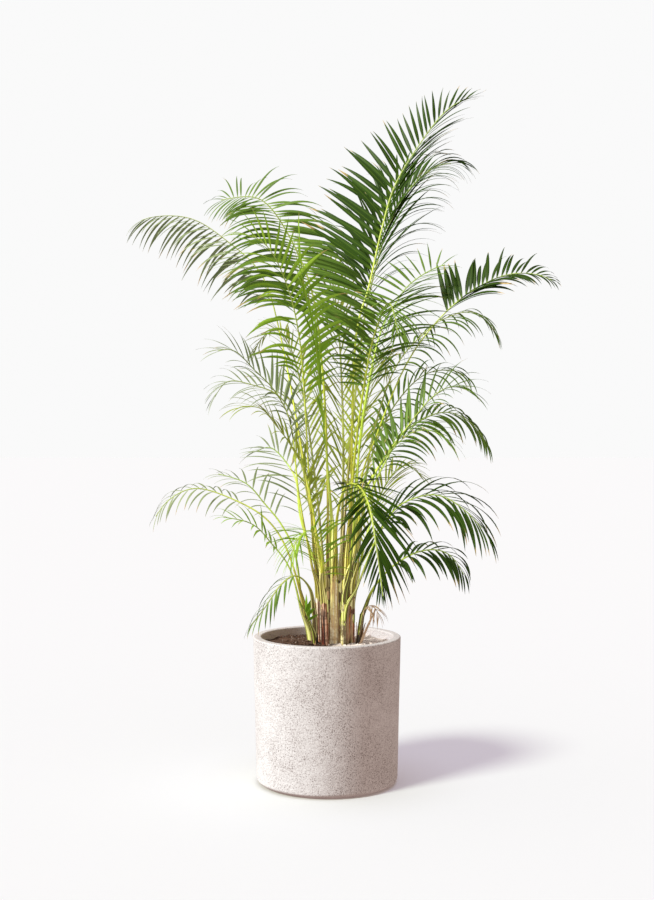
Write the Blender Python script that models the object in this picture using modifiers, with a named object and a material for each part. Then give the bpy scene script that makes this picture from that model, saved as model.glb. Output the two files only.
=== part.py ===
"""A clump of feather-leaved palm canes in a straight-sided cement planter.

Metres, +Z up. The origin is the centre of the planter's underside. Every point of the
plant is given from the middle of the soil's surface, so the plant rises with its planter.
"""

import math
from dataclasses import dataclass

import bmesh
import bpy
from mathutils import Matrix, Quaternion, Vector
from mathutils.bvhtree import BVHTree

# Planter
PLANTER_RIM_RADIUS = 0.1855
PLANTER_BASE_RADIUS = 0.1770
PLANTER_HEIGHT = 0.365
PLANTER_WALL = 0.020
PLANTER_FLOOR = 0.025
RIM_ROUNDING = 0.006
BASE_ROUNDING = 0.010
FOOT_HEIGHT = 0.004
FOOT_INSET = 0.009
TURNING_STEPS = 48
ROUNDING_STEPS = 3

# Soil
SOIL_BELOW_RIM = 0.018

# Canes
CANE_GIRTH = 1.0
CANE_ROOT_DEPTH = 0.070
CANE_SWELL = 1.15
CANE_TAPER = 0.88
CANE_SIDES = 12

# Fronds
FROND_REACH = 1.0
PETIOLE_WIDTH = 0.009
PETIOLE_DEPTH = 0.007
SPINE_TIP_WIDTH = 0.0030
SPINE_TIP_DEPTH = 0.0018
LEAFLET_THICKNESS = 0.0012
LEAFLET_WIDTH = 0.020
LEAFLET_BASE = 0.010
LEAFLET_SHOULDER = 0.42
LEAFLET_SWEEP_FIRST = 60
LEAFLET_SWEEP_LAST = 14
PETIOLE_SEGMENTS = 4

# Room left between pieces
CLEARANCE = 0.0003
GROWING_ROOM = 0.0006
FOOT_GAP = 0.0008

SOIL_TOP = PLANTER_HEIGHT - SOIL_BELOW_RIM
CLUMP = Vector((0.0, 0.0, SOIL_TOP))


@dataclass(frozen=True)
class Cane:
    """A woody stem: where it leaves the soil, where it ends, and its radius."""

    name: str
    foot: tuple
    top: tuple
    radius: float
    colour: tuple

    def axis(self):
        """The ends of the stem above the soil, in world space."""
        foot = CLUMP + Vector((*self.foot, 0.0))
        return foot, CLUMP + Vector(self.top)

    def at_height(self, height):
        """The middle of the stem at a height above the soil."""
        foot, top = self.axis()
        return foot.lerp(top, height / self.top[2])


@dataclass(frozen=True)
class Frond:
    """A leaf: the cane it grows from, the points its spine passes, and its leaflets."""

    name: str
    cane: str
    foot_height: float
    route: tuple
    leaflet: float
    pairs: int
    roll: float
    bare: float = 0.5
    rise: float = 25
    droop: float = 0.5
    dried: bool = False


OLIVE = (0.30, 0.27, 0.10, 1.0)
CREAM = (0.62, 0.50, 0.28, 1.0)
MAROON = (0.20, 0.08, 0.06, 1.0)
BROWN = (0.09, 0.05, 0.03, 1.0)
RUST = (0.36, 0.17, 0.07, 1.0)

CANES = (
    Cane("cane_thin_left", (-0.042, 0.030), (-0.054, 0.030, 0.080), 0.0060, OLIVE),
    Cane("cane_stub", (-0.029, -0.022), (-0.031, -0.024, 0.075), 0.0065, BROWN),
    Cane("cane_yellow", (-0.018, 0.016), (-0.024, 0.014, 0.235), 0.0080, CREAM),
    Cane("cane_maroon", (-0.004, -0.036), (-0.012, -0.042, 0.190), 0.0075, MAROON),
    Cane("cane_brown", (0.006, 0.040), (0.004, 0.046, 0.225), 0.0070, BROWN),
    Cane("cane_pale", (0.019, -0.012), (0.018, -0.012, 0.240), 0.0095, CREAM),
    Cane("cane_dark", (0.032, 0.034), (0.036, 0.040, 0.200), 0.0070, BROWN),
    Cane("cane_olive", (0.042, -0.034), (0.048, -0.036, 0.215), 0.0085, OLIVE),
    Cane("cane_rust", (0.058, 0.002), (0.062, 0.004, 0.240), 0.0100, RUST),
    Cane("cane_thin_right", (0.078, -0.014), (0.088, -0.010, 0.070), 0.0060, BROWN),
)

FRONDS = (
    Frond("frond_far_left_high", "cane_yellow", 0.235,
          ((-0.07, 0.03, 0.52), (-0.12, 0.08, 0.78), (-0.17, 0.12, 0.94), (-0.27, 0.16, 1.04),
           (-0.365, 0.19, 1.10), (-0.475, 0.21, 1.105), (-0.56, 0.22, 1.064)),
          0.13, 10, 10, bare=0.56, rise=10, droop=0.9),
    Frond("frond_left_high", "cane_brown", 0.225,
          ((0.0, 0.05, 0.46), (-0.01, 0.06, 0.67), (-0.036, 0.08, 0.88), (-0.094, 0.10, 1.03),
           (-0.168, 0.13, 1.135), (-0.255, 0.15, 1.145), (-0.342, 0.17, 1.12)),
          0.20, 10, -50, bare=0.50, rise=18),
    Frond("frond_left_bright", "cane_yellow", 0.190,
          ((-0.045, -0.02, 0.42), (-0.057, -0.05, 0.643), (-0.069, -0.06, 0.767),
           (-0.094, -0.07, 0.877), (-0.143, -0.085, 0.979), (-0.223, -0.10, 1.03)),
          0.20, 10, -65, bare=0.46, rise=15, droop=0.35),
    Frond("frond_spear", "cane_pale", 0.240,
          ((-0.01, -0.01, 0.57), (-0.03, -0.015, 0.77), (-0.053, -0.02, 0.875),
           (-0.066, -0.025, 0.97), (-0.07, -0.03, 1.06)),
          0.17, 9, 170, bare=0.50, rise=15, droop=0.25),
    Frond("frond_tallest", "cane_rust", 0.240,
          ((0.063, 0.02, 0.52), (0.074, 0.03, 0.775), (0.107, 0.035, 0.903), (0.139, 0.04, 1.046),
           (0.17, 0.045, 1.151), (0.223, 0.05, 1.244), (0.308, 0.05, 1.352), (0.414, 0.05, 1.403)),
          0.20, 11, 66, bare=0.50, rise=12, droop=0.25),
    Frond("frond_right_high", "cane_dark", 0.200,
          ((0.067, 0.07, 0.57), (0.094, 0.09, 0.806), (0.129, 0.12, 0.966), (0.169, 0.14, 1.087),
           (0.229, 0.16, 1.184), (0.304, 0.18, 1.24), (0.414, 0.20, 1.246)),
          0.17, 10, 50, bare=0.55, rise=20),
    Frond("frond_right_upper", "cane_rust", 0.205,
          ((0.081, -0.02, 0.50), (0.124, -0.03, 0.747), (0.167, -0.03, 0.843),
           (0.2075, -0.035, 0.898), (0.276, -0.04, 0.939), (0.344, -0.045, 0.949)),
          0.12, 8, 60, bare=0.60, rise=20, droop=0.3),
    Frond("frond_long_right", "cane_rust", 0.170,
          ((0.083, 0.0, 0.393), (0.123, -0.01, 0.519), (0.185, -0.03, 0.674), (0.2465, -0.05, 0.773),
           (0.332, -0.06, 0.859), (0.43, -0.07, 0.912), (0.516, -0.08, 0.914), (0.58, -0.09, 0.88)),
          0.17, 11, 40, bare=0.40, rise=25),
    Frond("frond_right_behind", "cane_rust", 0.130,
          ((0.10, 0.04, 0.42), (0.13, 0.06, 0.57), (0.178, 0.07, 0.70), (0.244, 0.08, 0.779),
           (0.309, 0.09, 0.826), (0.389, 0.10, 0.838), (0.461, 0.11, 0.76)),
          0.13, 8, 15, bare=0.56, rise=0, droop=0.9),
    Frond("frond_umbrella", "cane_olive", 0.215,
          ((0.072, -0.05, 0.50), (0.103, -0.10, 0.715), (0.129, -0.17, 0.806),
           (0.144, -0.25, 0.826), (0.154, -0.33, 0.778), (0.16, -0.38, 0.708)),
          0.17, 9, 0, bare=0.52, rise=15, droop=0.6),
    Frond("frond_right_middle", "cane_dark", 0.165,
          ((0.088, 0.06, 0.38), (0.137, 0.05, 0.532), (0.189, 0.04, 0.621), (0.253, 0.03, 0.678),
           (0.33, 0.03, 0.683), (0.383, 0.03, 0.635)),
          0.12, 8, 30, bare=0.50, rise=8, droop=0.8),
    Frond("frond_right_arching", "cane_olive", 0.180,
          ((0.08, -0.06, 0.369), (0.129, -0.08, 0.464), (0.178, -0.09, 0.531), (0.2435, -0.11, 0.612),
           (0.298, -0.13, 0.638), (0.362, -0.15, 0.611)),
          0.13, 8, 40, bare=0.45, rise=25),
    Frond("frond_right_drooping", "cane_dark", 0.120,
          ((0.09, 0.08, 0.33), (0.152, 0.09, 0.468), (0.205, 0.09, 0.54), (0.296, 0.10, 0.582),
           (0.372, 0.12, 0.551), (0.438, 0.13, 0.461)),
          0.12, 9, 30, bare=0.46, rise=25, droop=0.6),
    Frond("frond_right_low_front", "cane_olive", 0.145,
          ((0.07, -0.07, 0.33), (0.113, -0.11, 0.425), (0.156, -0.15, 0.49), (0.202, -0.18, 0.528),
           (0.252, -0.21, 0.528), (0.296, -0.24, 0.49)),
          0.14, 8, 20, bare=0.45, rise=20, droop=0.8),
    Frond("frond_left_middle", "cane_yellow", 0.150,
          ((-0.05, -0.03, 0.369), (-0.07, -0.04, 0.544), (-0.107, -0.06, 0.626),
           (-0.158, -0.07, 0.68), (-0.2115, -0.09, 0.728), (-0.278, -0.11, 0.714)),
          0.12, 8, -45, bare=0.55, rise=20),
    Frond("frond_left_behind", "cane_brown", 0.175,
          ((-0.05, 0.07, 0.366), (-0.08, 0.09, 0.545), (-0.124, 0.10, 0.623), (-0.198, 0.11, 0.654),
           (-0.263, 0.12, 0.66), (-0.311, 0.13, 0.592)),
          0.12, 8, -35, bare=0.52, rise=20, droop=0.6),
    Frond("frond_left_front", "cane_maroon", 0.190,
          ((-0.0815, -0.07, 0.403), (-0.118, -0.09, 0.489), (-0.156, -0.11, 0.543),
           (-0.197, -0.13, 0.587), (-0.266, -0.16, 0.586)),
          0.13, 8, -30, bare=0.45, rise=20, droop=0.8),
    Frond("frond_left_faint", "cane_brown", 0.120,
          ((-0.066, 0.09, 0.30), (-0.08, 0.12, 0.40), (-0.11, 0.16, 0.4535), (-0.154, 0.20, 0.49),
           (-0.21, 0.25, 0.47)),
          0.11, 7, -40, bare=0.50, rise=20),
    Frond("frond_low_left_long", "cane_thin_left", 0.080,
          ((-0.092, 0.02, 0.226), (-0.142, 0.01, 0.306), (-0.2176, 0.0, 0.355),
           (-0.3175, -0.01, 0.388), (-0.388, -0.02, 0.36), (-0.437, -0.03, 0.293)),
          0.09, 9, -30, bare=0.45, rise=25),
    Frond("frond_low_left_upper", "cane_thin_left", 0.060,
          ((-0.09, 0.06, 0.21), (-0.124, 0.07, 0.287), (-0.171, 0.08, 0.346), (-0.2236, 0.09, 0.40),
           (-0.316, 0.11, 0.428)),
          0.08, 7, -30, bare=0.50, rise=20, droop=0.7),
    Frond("frond_low_left_front", "cane_thin_left", 0.040,
          ((-0.09, -0.01, 0.18), (-0.139, -0.03, 0.253), (-0.188, -0.06, 0.304),
           (-0.273, -0.09, 0.325)),
          0.07, 7, -30, bare=0.50, rise=20, droop=0.7),
    Frond("frond_low_left_drooping", "cane_stub", 0.075,
          ((-0.055, -0.05, 0.14), (-0.088, -0.075, 0.175), (-0.125, -0.10, 0.156),
           (-0.166, -0.12, 0.099), (-0.205, -0.14, 0.05)),
          0.09, 7, -10, bare=0.42, rise=20, droop=0.6),
    Frond("frond_small_centre", "cane_maroon", 0.140,
          ((-0.025, -0.075, 0.22), (-0.04, -0.10, 0.272), (-0.0586, -0.13, 0.292),
           (-0.087, -0.165, 0.266), (-0.10, -0.195, 0.22)),
          0.08, 5, 0, bare=0.50, rise=10, droop=0.6),
    Frond("frond_front_drooping", "cane_pale", 0.200,
          ((0.025, -0.07, 0.32), (0.046, -0.12, 0.397), (0.076, -0.20, 0.40), (0.097, -0.27, 0.357),
           (0.111, -0.33, 0.269), (0.127, -0.38, 0.139)),
          0.18, 9, 0, bare=0.48, rise=12, droop=0.35),
    Frond("frond_low_right_upper", "cane_olive", 0.100,
          ((0.095, -0.05, 0.219), (0.129, -0.07, 0.296), (0.175, -0.09, 0.354), (0.254, -0.11, 0.377),
           (0.32, -0.13, 0.344), (0.388, -0.15, 0.27)),
          0.13, 9, 25, bare=0.40, rise=25),
    Frond("frond_low_right_lower", "cane_thin_right", 0.070,
          ((0.136, -0.01, 0.141), (0.1915, -0.02, 0.2015), (0.261, -0.03, 0.235),
           (0.3225, -0.04, 0.224), (0.371, -0.05, 0.153)),
          0.10, 8, 25, bare=0.42, rise=25, droop=0.6),
    Frond("frond_back_right", "cane_dark", 0.080,
          ((0.07, 0.12, 0.36), (0.10, 0.19, 0.58), (0.13, 0.28, 0.72), (0.16, 0.39, 0.74),
           (0.18, 0.48, 0.66)),
          0.16, 9, 0, bare=0.50, rise=20),
    Frond("frond_back_left", "cane_brown", 0.085,
          ((-0.03, 0.13, 0.40), (-0.07, 0.20, 0.66), (-0.12, 0.29, 0.80), (-0.18, 0.38, 0.80),
           (-0.23, 0.45, 0.72)),
          0.16, 9, 0, bare=0.52, rise=20),
    Frond("frond_back_tall", "cane_dark", 0.145,
          ((0.03, 0.11, 0.48), (0.02, 0.16, 0.78), (0.0, 0.22, 0.95), (-0.02, 0.31, 1.02),
           (-0.03, 0.41, 0.99)),
          0.18, 9, 0, bare=0.52, rise=20),
    Frond("frond_back_low", "cane_rust", 0.090,
          ((0.10, 0.10, 0.25), (0.15, 0.18, 0.38), (0.21, 0.26, 0.44), (0.28, 0.33, 0.40)),
          0.13, 7, 0, bare=0.45, rise=20),
    Frond("dried_leaf", "cane_thin_right", 0.035,
          ((0.098, -0.04, 0.085), (0.112, -0.05, 0.100), (0.128, -0.06, 0.092),
           (0.140, -0.067, 0.065)),
          0.05, 4, 20, bare=0.45, rise=0, droop=1.2, dried=True),
    Frond("young_shoot", "cane_stub", 0.030,
          ((-0.046, -0.040, 0.055), (-0.052, -0.046, 0.080), (-0.064, -0.050, 0.098)),
          0.035, 3, 0, bare=0.40, rise=25, droop=0.2),
)

# How far a spine may stand aside to clear its neighbours, and which ways, in order
SPINE_SWAYS = (0.0, 0.010, 0.018, 0.026, 0.034, 0.042)
SWAY_HEADINGS = (90, 270, 45, 315, 135, 225, 0, 180)
# How a leaflet may turn, in degrees, and what share of its length it keeps, in order
LEAFLET_CHOICES = (
    (0, 1.0), (14, 1.0), (-14, 1.0), (28, 1.0), (-28, 1.0), (42, 1.0), (-42, 1.0),
    (0, 0.75), (24, 0.75), (-24, 0.75), (0, 0.5), (24, 0.5), (-24, 0.5), (0, 0.3), (0, 0.15),
)


def clear_scene():
    """Removes whatever the scene starts with."""
    for obj in list(bpy.data.objects):
        bpy.data.objects.remove(obj, do_unlink=True)


def new_collection(name):
    """A collection linked to the scene."""
    collection = bpy.data.collections.new(name)
    bpy.context.scene.collection.children.link(collection)
    return collection


def finish(name, colour, roughness):
    """A plain Principled material."""
    material = bpy.data.materials.new(name)
    material.use_nodes = True
    shader = material.node_tree.nodes["Principled BSDF"]
    shader.inputs["Base Color"].default_value = colour
    shader.inputs["Roughness"].default_value = roughness
    shader.inputs["Metallic"].default_value = 0.0
    material.diffuse_color = colour
    return material


def add_object(name, mesh, collection, material=None):
    """A mesh object in a collection."""
    obj = bpy.data.objects.new(name, mesh)
    collection.objects.link(obj)
    if material:
        mesh.materials.append(material)
    return obj


# Planter and soil


def arc(centre, radius, first, last):
    """Points of an arc in the (radius, height) plane, angles in degrees."""
    points = []
    for step in range(ROUNDING_STEPS + 1):
        angle = math.radians(first + (last - first) * step / ROUNDING_STEPS)
        points.append((centre[0] + radius * math.cos(angle), centre[1] + radius * math.sin(angle)))
    return points


def outer_radius(height):
    """The planter's outer radius at a height, on its slight taper."""
    return PLANTER_BASE_RADIUS + (PLANTER_RIM_RADIUS - PLANTER_BASE_RADIUS) * height / PLANTER_HEIGHT


def inner_radius(height):
    """The planter's inner radius at a height."""
    return outer_radius(height) - PLANTER_WALL


def planter_profile():
    """From the middle of the inner floor, up and over the rim, and down to the underside."""
    shoulder = PLANTER_HEIGHT - RIM_ROUNDING
    base_shoulder = FOOT_HEIGHT + BASE_ROUNDING
    foot_radius = outer_radius(FOOT_HEIGHT) - BASE_ROUNDING - FOOT_INSET
    profile = [(0.0, PLANTER_FLOOR), (inner_radius(PLANTER_FLOOR), PLANTER_FLOOR)]
    profile += arc((inner_radius(shoulder) + RIM_ROUNDING, shoulder), RIM_ROUNDING, 180, 90)
    profile += arc((outer_radius(shoulder) - RIM_ROUNDING, shoulder), RIM_ROUNDING, 90, 0)
    profile += arc((outer_radius(base_shoulder) - BASE_ROUNDING, base_shoulder), BASE_ROUNDING, 0, -90)
    profile += [(foot_radius, FOOT_HEIGHT), (foot_radius, 0.0), (0.0, 0.0)]
    return profile


def build_planter(collection):
    """The turned cement pot, hollow and open at the top."""
    mesh = bpy.data.meshes.new("planter")
    profile = planter_profile()
    mesh.from_pydata(
        [(radius, 0.0, height) for radius, height in profile],
        [(index, index + 1) for index in range(len(profile) - 1)],
        [],
    )
    cement = finish("cement", (0.72, 0.68, 0.64, 1.0), 0.85)
    planter = add_object("planter", mesh, collection, cement)
    screw = planter.modifiers.new("turning", "SCREW")
    screw.angle = 2 * math.pi
    screw.steps = screw.render_steps = TURNING_STEPS
    screw.use_merge_vertices = True
    screw.merge_threshold = 0.00001
    screw.use_smooth_shade = True
    return planter


def build_soil(collection):
    """The fill of soil, from the planter's floor to just below its rim."""
    low = PLANTER_FLOOR + CLEARANCE
    mesh = bpy.data.meshes.new("soil")
    shape = bmesh.new()
    bmesh.ops.create_cone(
        shape,
        cap_ends=True,
        segments=TURNING_STEPS,
        radius1=inner_radius(low) - CLEARANCE,
        radius2=inner_radius(SOIL_TOP) - CLEARANCE,
        depth=SOIL_TOP - low,
        matrix=Matrix.Translation((0.0, 0.0, (SOIL_TOP + low) / 2)),
    )
    shape.to_mesh(mesh)
    shape.free()
    return add_object("soil", mesh, collection, finish("soil", (0.05, 0.03, 0.02, 1.0), 0.95))


# Canes


def cane_mesh(cane, name, grow, lengthen):
    """A tapered stem about its own axis, with its origin where it leaves the soil."""
    foot, top = cane.axis()
    root = CANE_ROOT_DEPTH + grow
    above = (top - foot).length + lengthen
    radius = cane.radius * CANE_GIRTH
    mesh = bpy.data.meshes.new(name)
    shape = bmesh.new()
    bmesh.ops.create_cone(
        shape,
        cap_ends=True,
        segments=CANE_SIDES,
        radius1=radius * CANE_SWELL + grow,
        radius2=radius * CANE_TAPER + grow,
        depth=root + above,
        matrix=Matrix.Translation((0.0, 0.0, (above - root) / 2)),
    )
    shape.to_mesh(mesh)
    shape.free()
    return mesh


def place_on_cane(obj, cane):
    """Stands an object on the cane's line, its origin in the soil's surface."""
    foot, top = cane.axis()
    obj.location = foot
    obj.rotation_mode = "QUATERNION"
    obj.rotation_quaternion = (top - foot).to_track_quat("Z", "Y")


def build_canes(collection, cutters, soil):
    """The stems, each standing in its own hole in the soil."""
    canes = {}
    for cane in CANES:
        bark = finish(cane.name, cane.colour, 0.6)
        stem = add_object(cane.name, cane_mesh(cane, cane.name, 0.0, 0.0), collection, bark)
        place_on_cane(stem, cane)
        hole = add_object(f"hole_{cane.name}", cane_mesh(cane, "hole", CLEARANCE, CLEARANCE), cutters)
        place_on_cane(hole, cane)
        hole.hide_render = True
        hole.display_type = "WIRE"
        cut = soil.modifiers.new(hole.name, "BOOLEAN")
        cut.operation = "DIFFERENCE"
        cut.object = hole
        canes[cane.name] = stem
    return canes


# Fronds


def smooth_route(points, count):
    """Evenly spaced points on a smooth curve through the given ones."""
    ends = [2 * points[0] - points[1], *points, 2 * points[-1] - points[-2]]
    fine = []
    for index in range(1, len(ends) - 2):
        before, start, end, after = ends[index - 1 : index + 3]
        for step in range(12):
            t = step / 12
            fine.append(
                0.5
                * (
                    2 * start
                    + (end - before) * t
                    + (2 * before - 5 * start + 4 * end - after) * t**2
                    + (3 * start - before - 3 * end + after) * t**3
                )
            )
    fine.append(points[-1])
    reached = [0.0]
    for first, second in zip(fine, fine[1:]):
        reached.append(reached[-1] + (second - first).length)
    return [point_along(fine, reached, reached[-1] * share) for share in count]


def point_along(points, reached, distance):
    """The point at a distance along a chain of points."""
    for index in range(1, len(points)):
        if reached[index] >= distance:
            span = reached[index] - reached[index - 1]
            return points[index - 1].lerp(points[index], (distance - reached[index - 1]) / span)
    return points[-1].copy()


class Spine:
    """The petiole and rachis of one frond, as stations with their own axes."""

    def __init__(self, frond, cane, sway):
        self.frond = frond
        first = CLUMP + Vector(frond.route[0]) * FROND_REACH
        middle = cane.at_height(frond.foot_height)
        outward = (first - middle).to_2d().to_3d().normalized()
        if frond.foot_height >= cane.top[2]:
            foot = middle + Vector((0.0, 0.0, FOOT_GAP))
        else:
            beside = cane.radius * CANE_GIRTH * CANE_SWELL + PETIOLE_WIDTH / 2 + FOOT_GAP
            foot = middle + outward * beside
        route = [CLUMP + Vector(point) * FROND_REACH + sway for point in frond.route]
        self.shares = self.station_shares()
        self.points = smooth_route([foot, *route], self.shares)
        heading = (self.points[-1] - foot).to_2d().to_3d().normalized()
        self.across = Vector((0.0, 0.0, 1.0)).cross(heading)
        self.axes = [self.axes_at(index) for index in range(len(self.points))]

    def station_shares(self):
        """Shares of the spine's length: the bare petiole, then two stations for each pair."""
        bare, pairs = self.frond.bare, self.frond.pairs
        shares = [bare * step / PETIOLE_SEGMENTS for step in range(PETIOLE_SEGMENTS)]
        pitch = (1.0 - bare) / pairs
        length = self.rough_length()
        for pair in range(pairs):
            start = bare + pitch * pair
            shares += [start, start + min(LEAFLET_BASE / length, 0.6 * pitch)]
        return [*shares, 1.0]

    def rough_length(self):
        """The length of the straight runs between the route's points."""
        route = [Vector(point) * FROND_REACH for point in self.frond.route]
        runs = sum((second - first).length for first, second in zip(route, route[1:]))
        return runs + route[0].z - self.frond.foot_height

    def axes_at(self, index):
        """Tangent, sideways and upward axes at a station, turned by the frond's roll."""
        ahead = self.points[min(index + 1, len(self.points) - 1)]
        behind = self.points[max(index - 1, 0)]
        tangent = (ahead - behind).normalized()
        upward = tangent.cross(self.across).normalized()
        sideways = upward.cross(tangent).normalized()
        turn = Quaternion(tangent, math.radians(self.frond.roll * self.roll_share(index)))
        return tangent, turn @ sideways, turn @ upward

    def roll_share(self, index):
        """The blade's roll comes in along the petiole."""
        return min(1.0, self.shares[index] / self.frond.bare)

    def half_width(self, index):
        """Half the spine's width at a station."""
        return (PETIOLE_WIDTH + (SPINE_TIP_WIDTH - PETIOLE_WIDTH) * self.shares[index]) / 2

    def depth(self, index):
        """The spine's depth at a station."""
        return PETIOLE_DEPTH + (SPINE_TIP_DEPTH - PETIOLE_DEPTH) * self.shares[index]

    def sleeve(self):
        """A closed square tube that stands one growing room clear of the spine."""
        vertices, faces = [], []
        for index, point in enumerate(self.points):
            _, sideways, upward = self.axes[index]
            side = sideways * (self.half_width(index) + GROWING_ROOM)
            rise = upward * (self.depth(index) / 2 + GROWING_ROOM)
            vertices += [point - side - rise, point + side - rise, point + side + rise, point - side + rise]
        for index in range(len(self.points) - 1):
            start = 4 * index
            for corner in range(4):
                nearer, next_corner = start + corner, start + (corner + 1) % 4
                faces.append((nearer, next_corner, next_corner + 4, nearer + 4))
        last = 4 * (len(self.points) - 1)
        faces += [(0, 1, 2, 3), (last, last + 1, last + 2, last + 3)]
        return vertices, faces


@dataclass
class Leaflet:
    """One blade of a frond: its two base stations, its side, and its five outline points."""

    station: int
    side: int
    base: tuple
    shoulder: tuple
    tip: Vector
    base_depth: float

    def plate(self):
        """A closed plate that stands one growing room clear of the leaflet."""
        outline = [*self.base, *self.shoulder[::-1], self.tip]
        normal = (self.shoulder[0] - self.base[0]).cross(self.base[1] - self.base[0]).normalized()
        thin = LEAFLET_THICKNESS / 2 + GROWING_ROOM
        thick = self.base_depth / 2 + GROWING_ROOM
        offsets = [thick, thick, thin, thin, thin]
        above = [point + normal * offset for point, offset in zip(outline, offsets)]
        below = [point - normal * offset for point, offset in zip(outline, offsets)]
        faces = [(0, 1, 2, 3), (3, 2, 4), (5, 6, 7, 8), (8, 7, 9)]
        ring = (0, 1, 2, 4, 3)
        for index, corner in enumerate(ring):
            following = ring[(index + 1) % len(ring)]
            faces.append((corner, following, following + 5, corner + 5))
        return above + below, faces


def leaflet_share(along):
    """A leaflet's share of the longest one's length, from the blade's foot to its tip."""
    if along < 0.35:
        return 0.72 + 0.28 * math.sin(math.pi / 2 * along / 0.35)
    return 1.0 - 0.72 * ((along - 0.35) / 0.65) ** 1.3


def shape_leaflet(spine, pair, side, turn, keep):
    """The leaflet of a pair on one side (-1 or 1), turned up by some degrees."""
    frond = spine.frond
    station = PETIOLE_SEGMENTS + 2 * pair
    along = (pair + 0.5) / frond.pairs
    tangent, sideways, upward = spine.axes[station]
    sweep = math.radians(LEAFLET_SWEEP_FIRST + (LEAFLET_SWEEP_LAST - LEAFLET_SWEEP_FIRST) * along)
    rise = math.radians(frond.rise + turn)
    outward = sideways * side * math.cos(rise) + upward * math.sin(rise)
    direction = (tangent * math.cos(sweep) + outward * math.sin(sweep)).normalized()
    length = frond.leaflet * FROND_REACH * leaflet_share(along) * keep
    base = tuple(
        spine.points[index] + spine.axes[index][1] * side * spine.half_width(index)
        for index in (station, station + 1)
    )
    root = (base[0] + base[1]) / 2
    down = Vector((0.0, 0.0, -1.0)) * length * frond.droop
    shoulder = root + direction * length * LEAFLET_SHOULDER + down * 0.10
    tip = root + direction * length * 0.92 + down * 0.45
    breadth = (tangent - direction * tangent.dot(direction)).normalized() * LEAFLET_WIDTH / 2
    breadth *= min(1.0, length / 0.08)
    return Leaflet(station, side, base, (shoulder - breadth, shoulder + breadth), tip, spine.depth(station))


def tree_of(shapes):
    """One search tree over several closed shapes, or None if there are none."""
    vertices, faces = [], []
    for shape_vertices, shape_faces in shapes:
        start = len(vertices)
        vertices += shape_vertices
        faces += [tuple(start + index for index in face) for face in shape_faces]
    return BVHTree.FromPolygons(vertices, faces) if vertices else None


def meets(shape, trees):
    """Whether a shape's skin crosses any of the trees."""
    own = BVHTree.FromPolygons(*shape)
    return any(tree is not None and own.overlap(tree) for tree in trees)


def still_pieces(objects):
    """Search trees over the planter, the soil and the canes as they stand."""
    bpy.context.view_layer.update()
    graph = bpy.context.evaluated_depsgraph_get()
    trees = []
    for obj in objects:
        evaluated = obj.evaluated_get(graph)
        mesh = evaluated.to_mesh()
        vertices = [evaluated.matrix_world @ vertex.co for vertex in mesh.vertices]
        faces = [tuple(polygon.vertices) for polygon in mesh.polygons]
        evaluated.to_mesh_clear()
        trees.append(BVHTree.FromPolygons(vertices, faces))
    return trees


def lay_spines(still):
    """Every frond's spine, each swayed until it clears the pieces laid before it."""
    canes = {cane.name: cane for cane in CANES}
    spines = []
    sleeves = []
    for frond in FRONDS:
        laid = [*still, tree_of(sleeves)]
        for sway in sways():
            spine = Spine(frond, canes[frond.cane], sway)
            if not meets(spine.sleeve(), laid):
                break
        spines.append(spine)
        sleeves.append(spine.sleeve())
    return spines


def sways():
    """The ways a spine may stand aside, nearest first."""
    for reach in SPINE_SWAYS:
        for heading in SWAY_HEADINGS:
            angle = math.radians(heading)
            yield Vector((math.cos(angle), math.sin(angle), 0.0)) * reach


def grow_leaflets(spines, still):
    """Each spine's leaflets, every one turned or shortened until it clears its neighbours."""
    grown = []
    plates = []
    for spine in spines:
        others = tree_of([other.sleeve() for other in spines if other is not spine])
        trees = [*still, others, tree_of(plates)]
        leaflets = []
        for pair in range(spine.frond.pairs):
            for side in (-1, 1):
                for turn, keep in LEAFLET_CHOICES:
                    leaflet = shape_leaflet(spine, pair, side, turn, keep)
                    if not meets(leaflet.plate(), trees):
                        break
                leaflets.append(leaflet)
        plates += [leaflet.plate() for leaflet in leaflets]
        grown.append(leaflets)
    return grown


def build_frond(spine, leaflets, collection, material):
    """One frond as an open feather-shaped sheet, thickened into a single solid."""
    shape = bmesh.new()
    girth = shape.verts.layers.deform.verify()
    left, right = [], []
    for index, point in enumerate(spine.points):
        side = spine.axes[index][1] * spine.half_width(index)
        for row, place in ((left, point - side), (right, point + side)):
            vertex = shape.verts.new(place)
            vertex[girth][0] = spine.depth(index) / PETIOLE_DEPTH
            row.append(vertex)
    for index in range(len(left) - 1):
        shape.faces.new((left[index], right[index], right[index + 1], left[index + 1]))
    for leaflet in leaflets:
        row = right if leaflet.side > 0 else left
        near, far = row[leaflet.station], row[leaflet.station + 1]
        corners = [shape.verts.new(point) for point in (*leaflet.shoulder, leaflet.tip)]
        for vertex in corners:
            vertex[girth][0] = LEAFLET_THICKNESS / PETIOLE_DEPTH
        shoulder_near, shoulder_far, tip = corners
        quad = (far, near, shoulder_near, shoulder_far)
        end = (shoulder_far, shoulder_near, tip)
        if leaflet.side < 0:
            quad, end = quad[::-1], end[::-1]
        shape.faces.new(quad)
        shape.faces.new(end)
    mesh = bpy.data.meshes.new(spine.frond.name)
    shape.to_mesh(mesh)
    shape.free()
    frond = add_object(spine.frond.name, mesh, collection, material)
    frond.vertex_groups.new(name="girth")
    body = frond.modifiers.new("body", "SOLIDIFY")
    body.thickness = PETIOLE_DEPTH
    body.offset = 0.0
    body.vertex_group = "girth"
    return frond


def build_fronds(collection, still):
    """All the leaves, the dried one and the shoot."""
    green = finish("frond_green", (0.10, 0.20, 0.03, 1.0), 0.5)
    straw = finish("dried_straw", (0.45, 0.33, 0.18, 1.0), 0.8)
    spines = lay_spines(still)
    for spine, leaflets in zip(spines, grow_leaflets(spines, still)):
        build_frond(spine, leaflets, collection, straw if spine.frond.dried else green)


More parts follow.
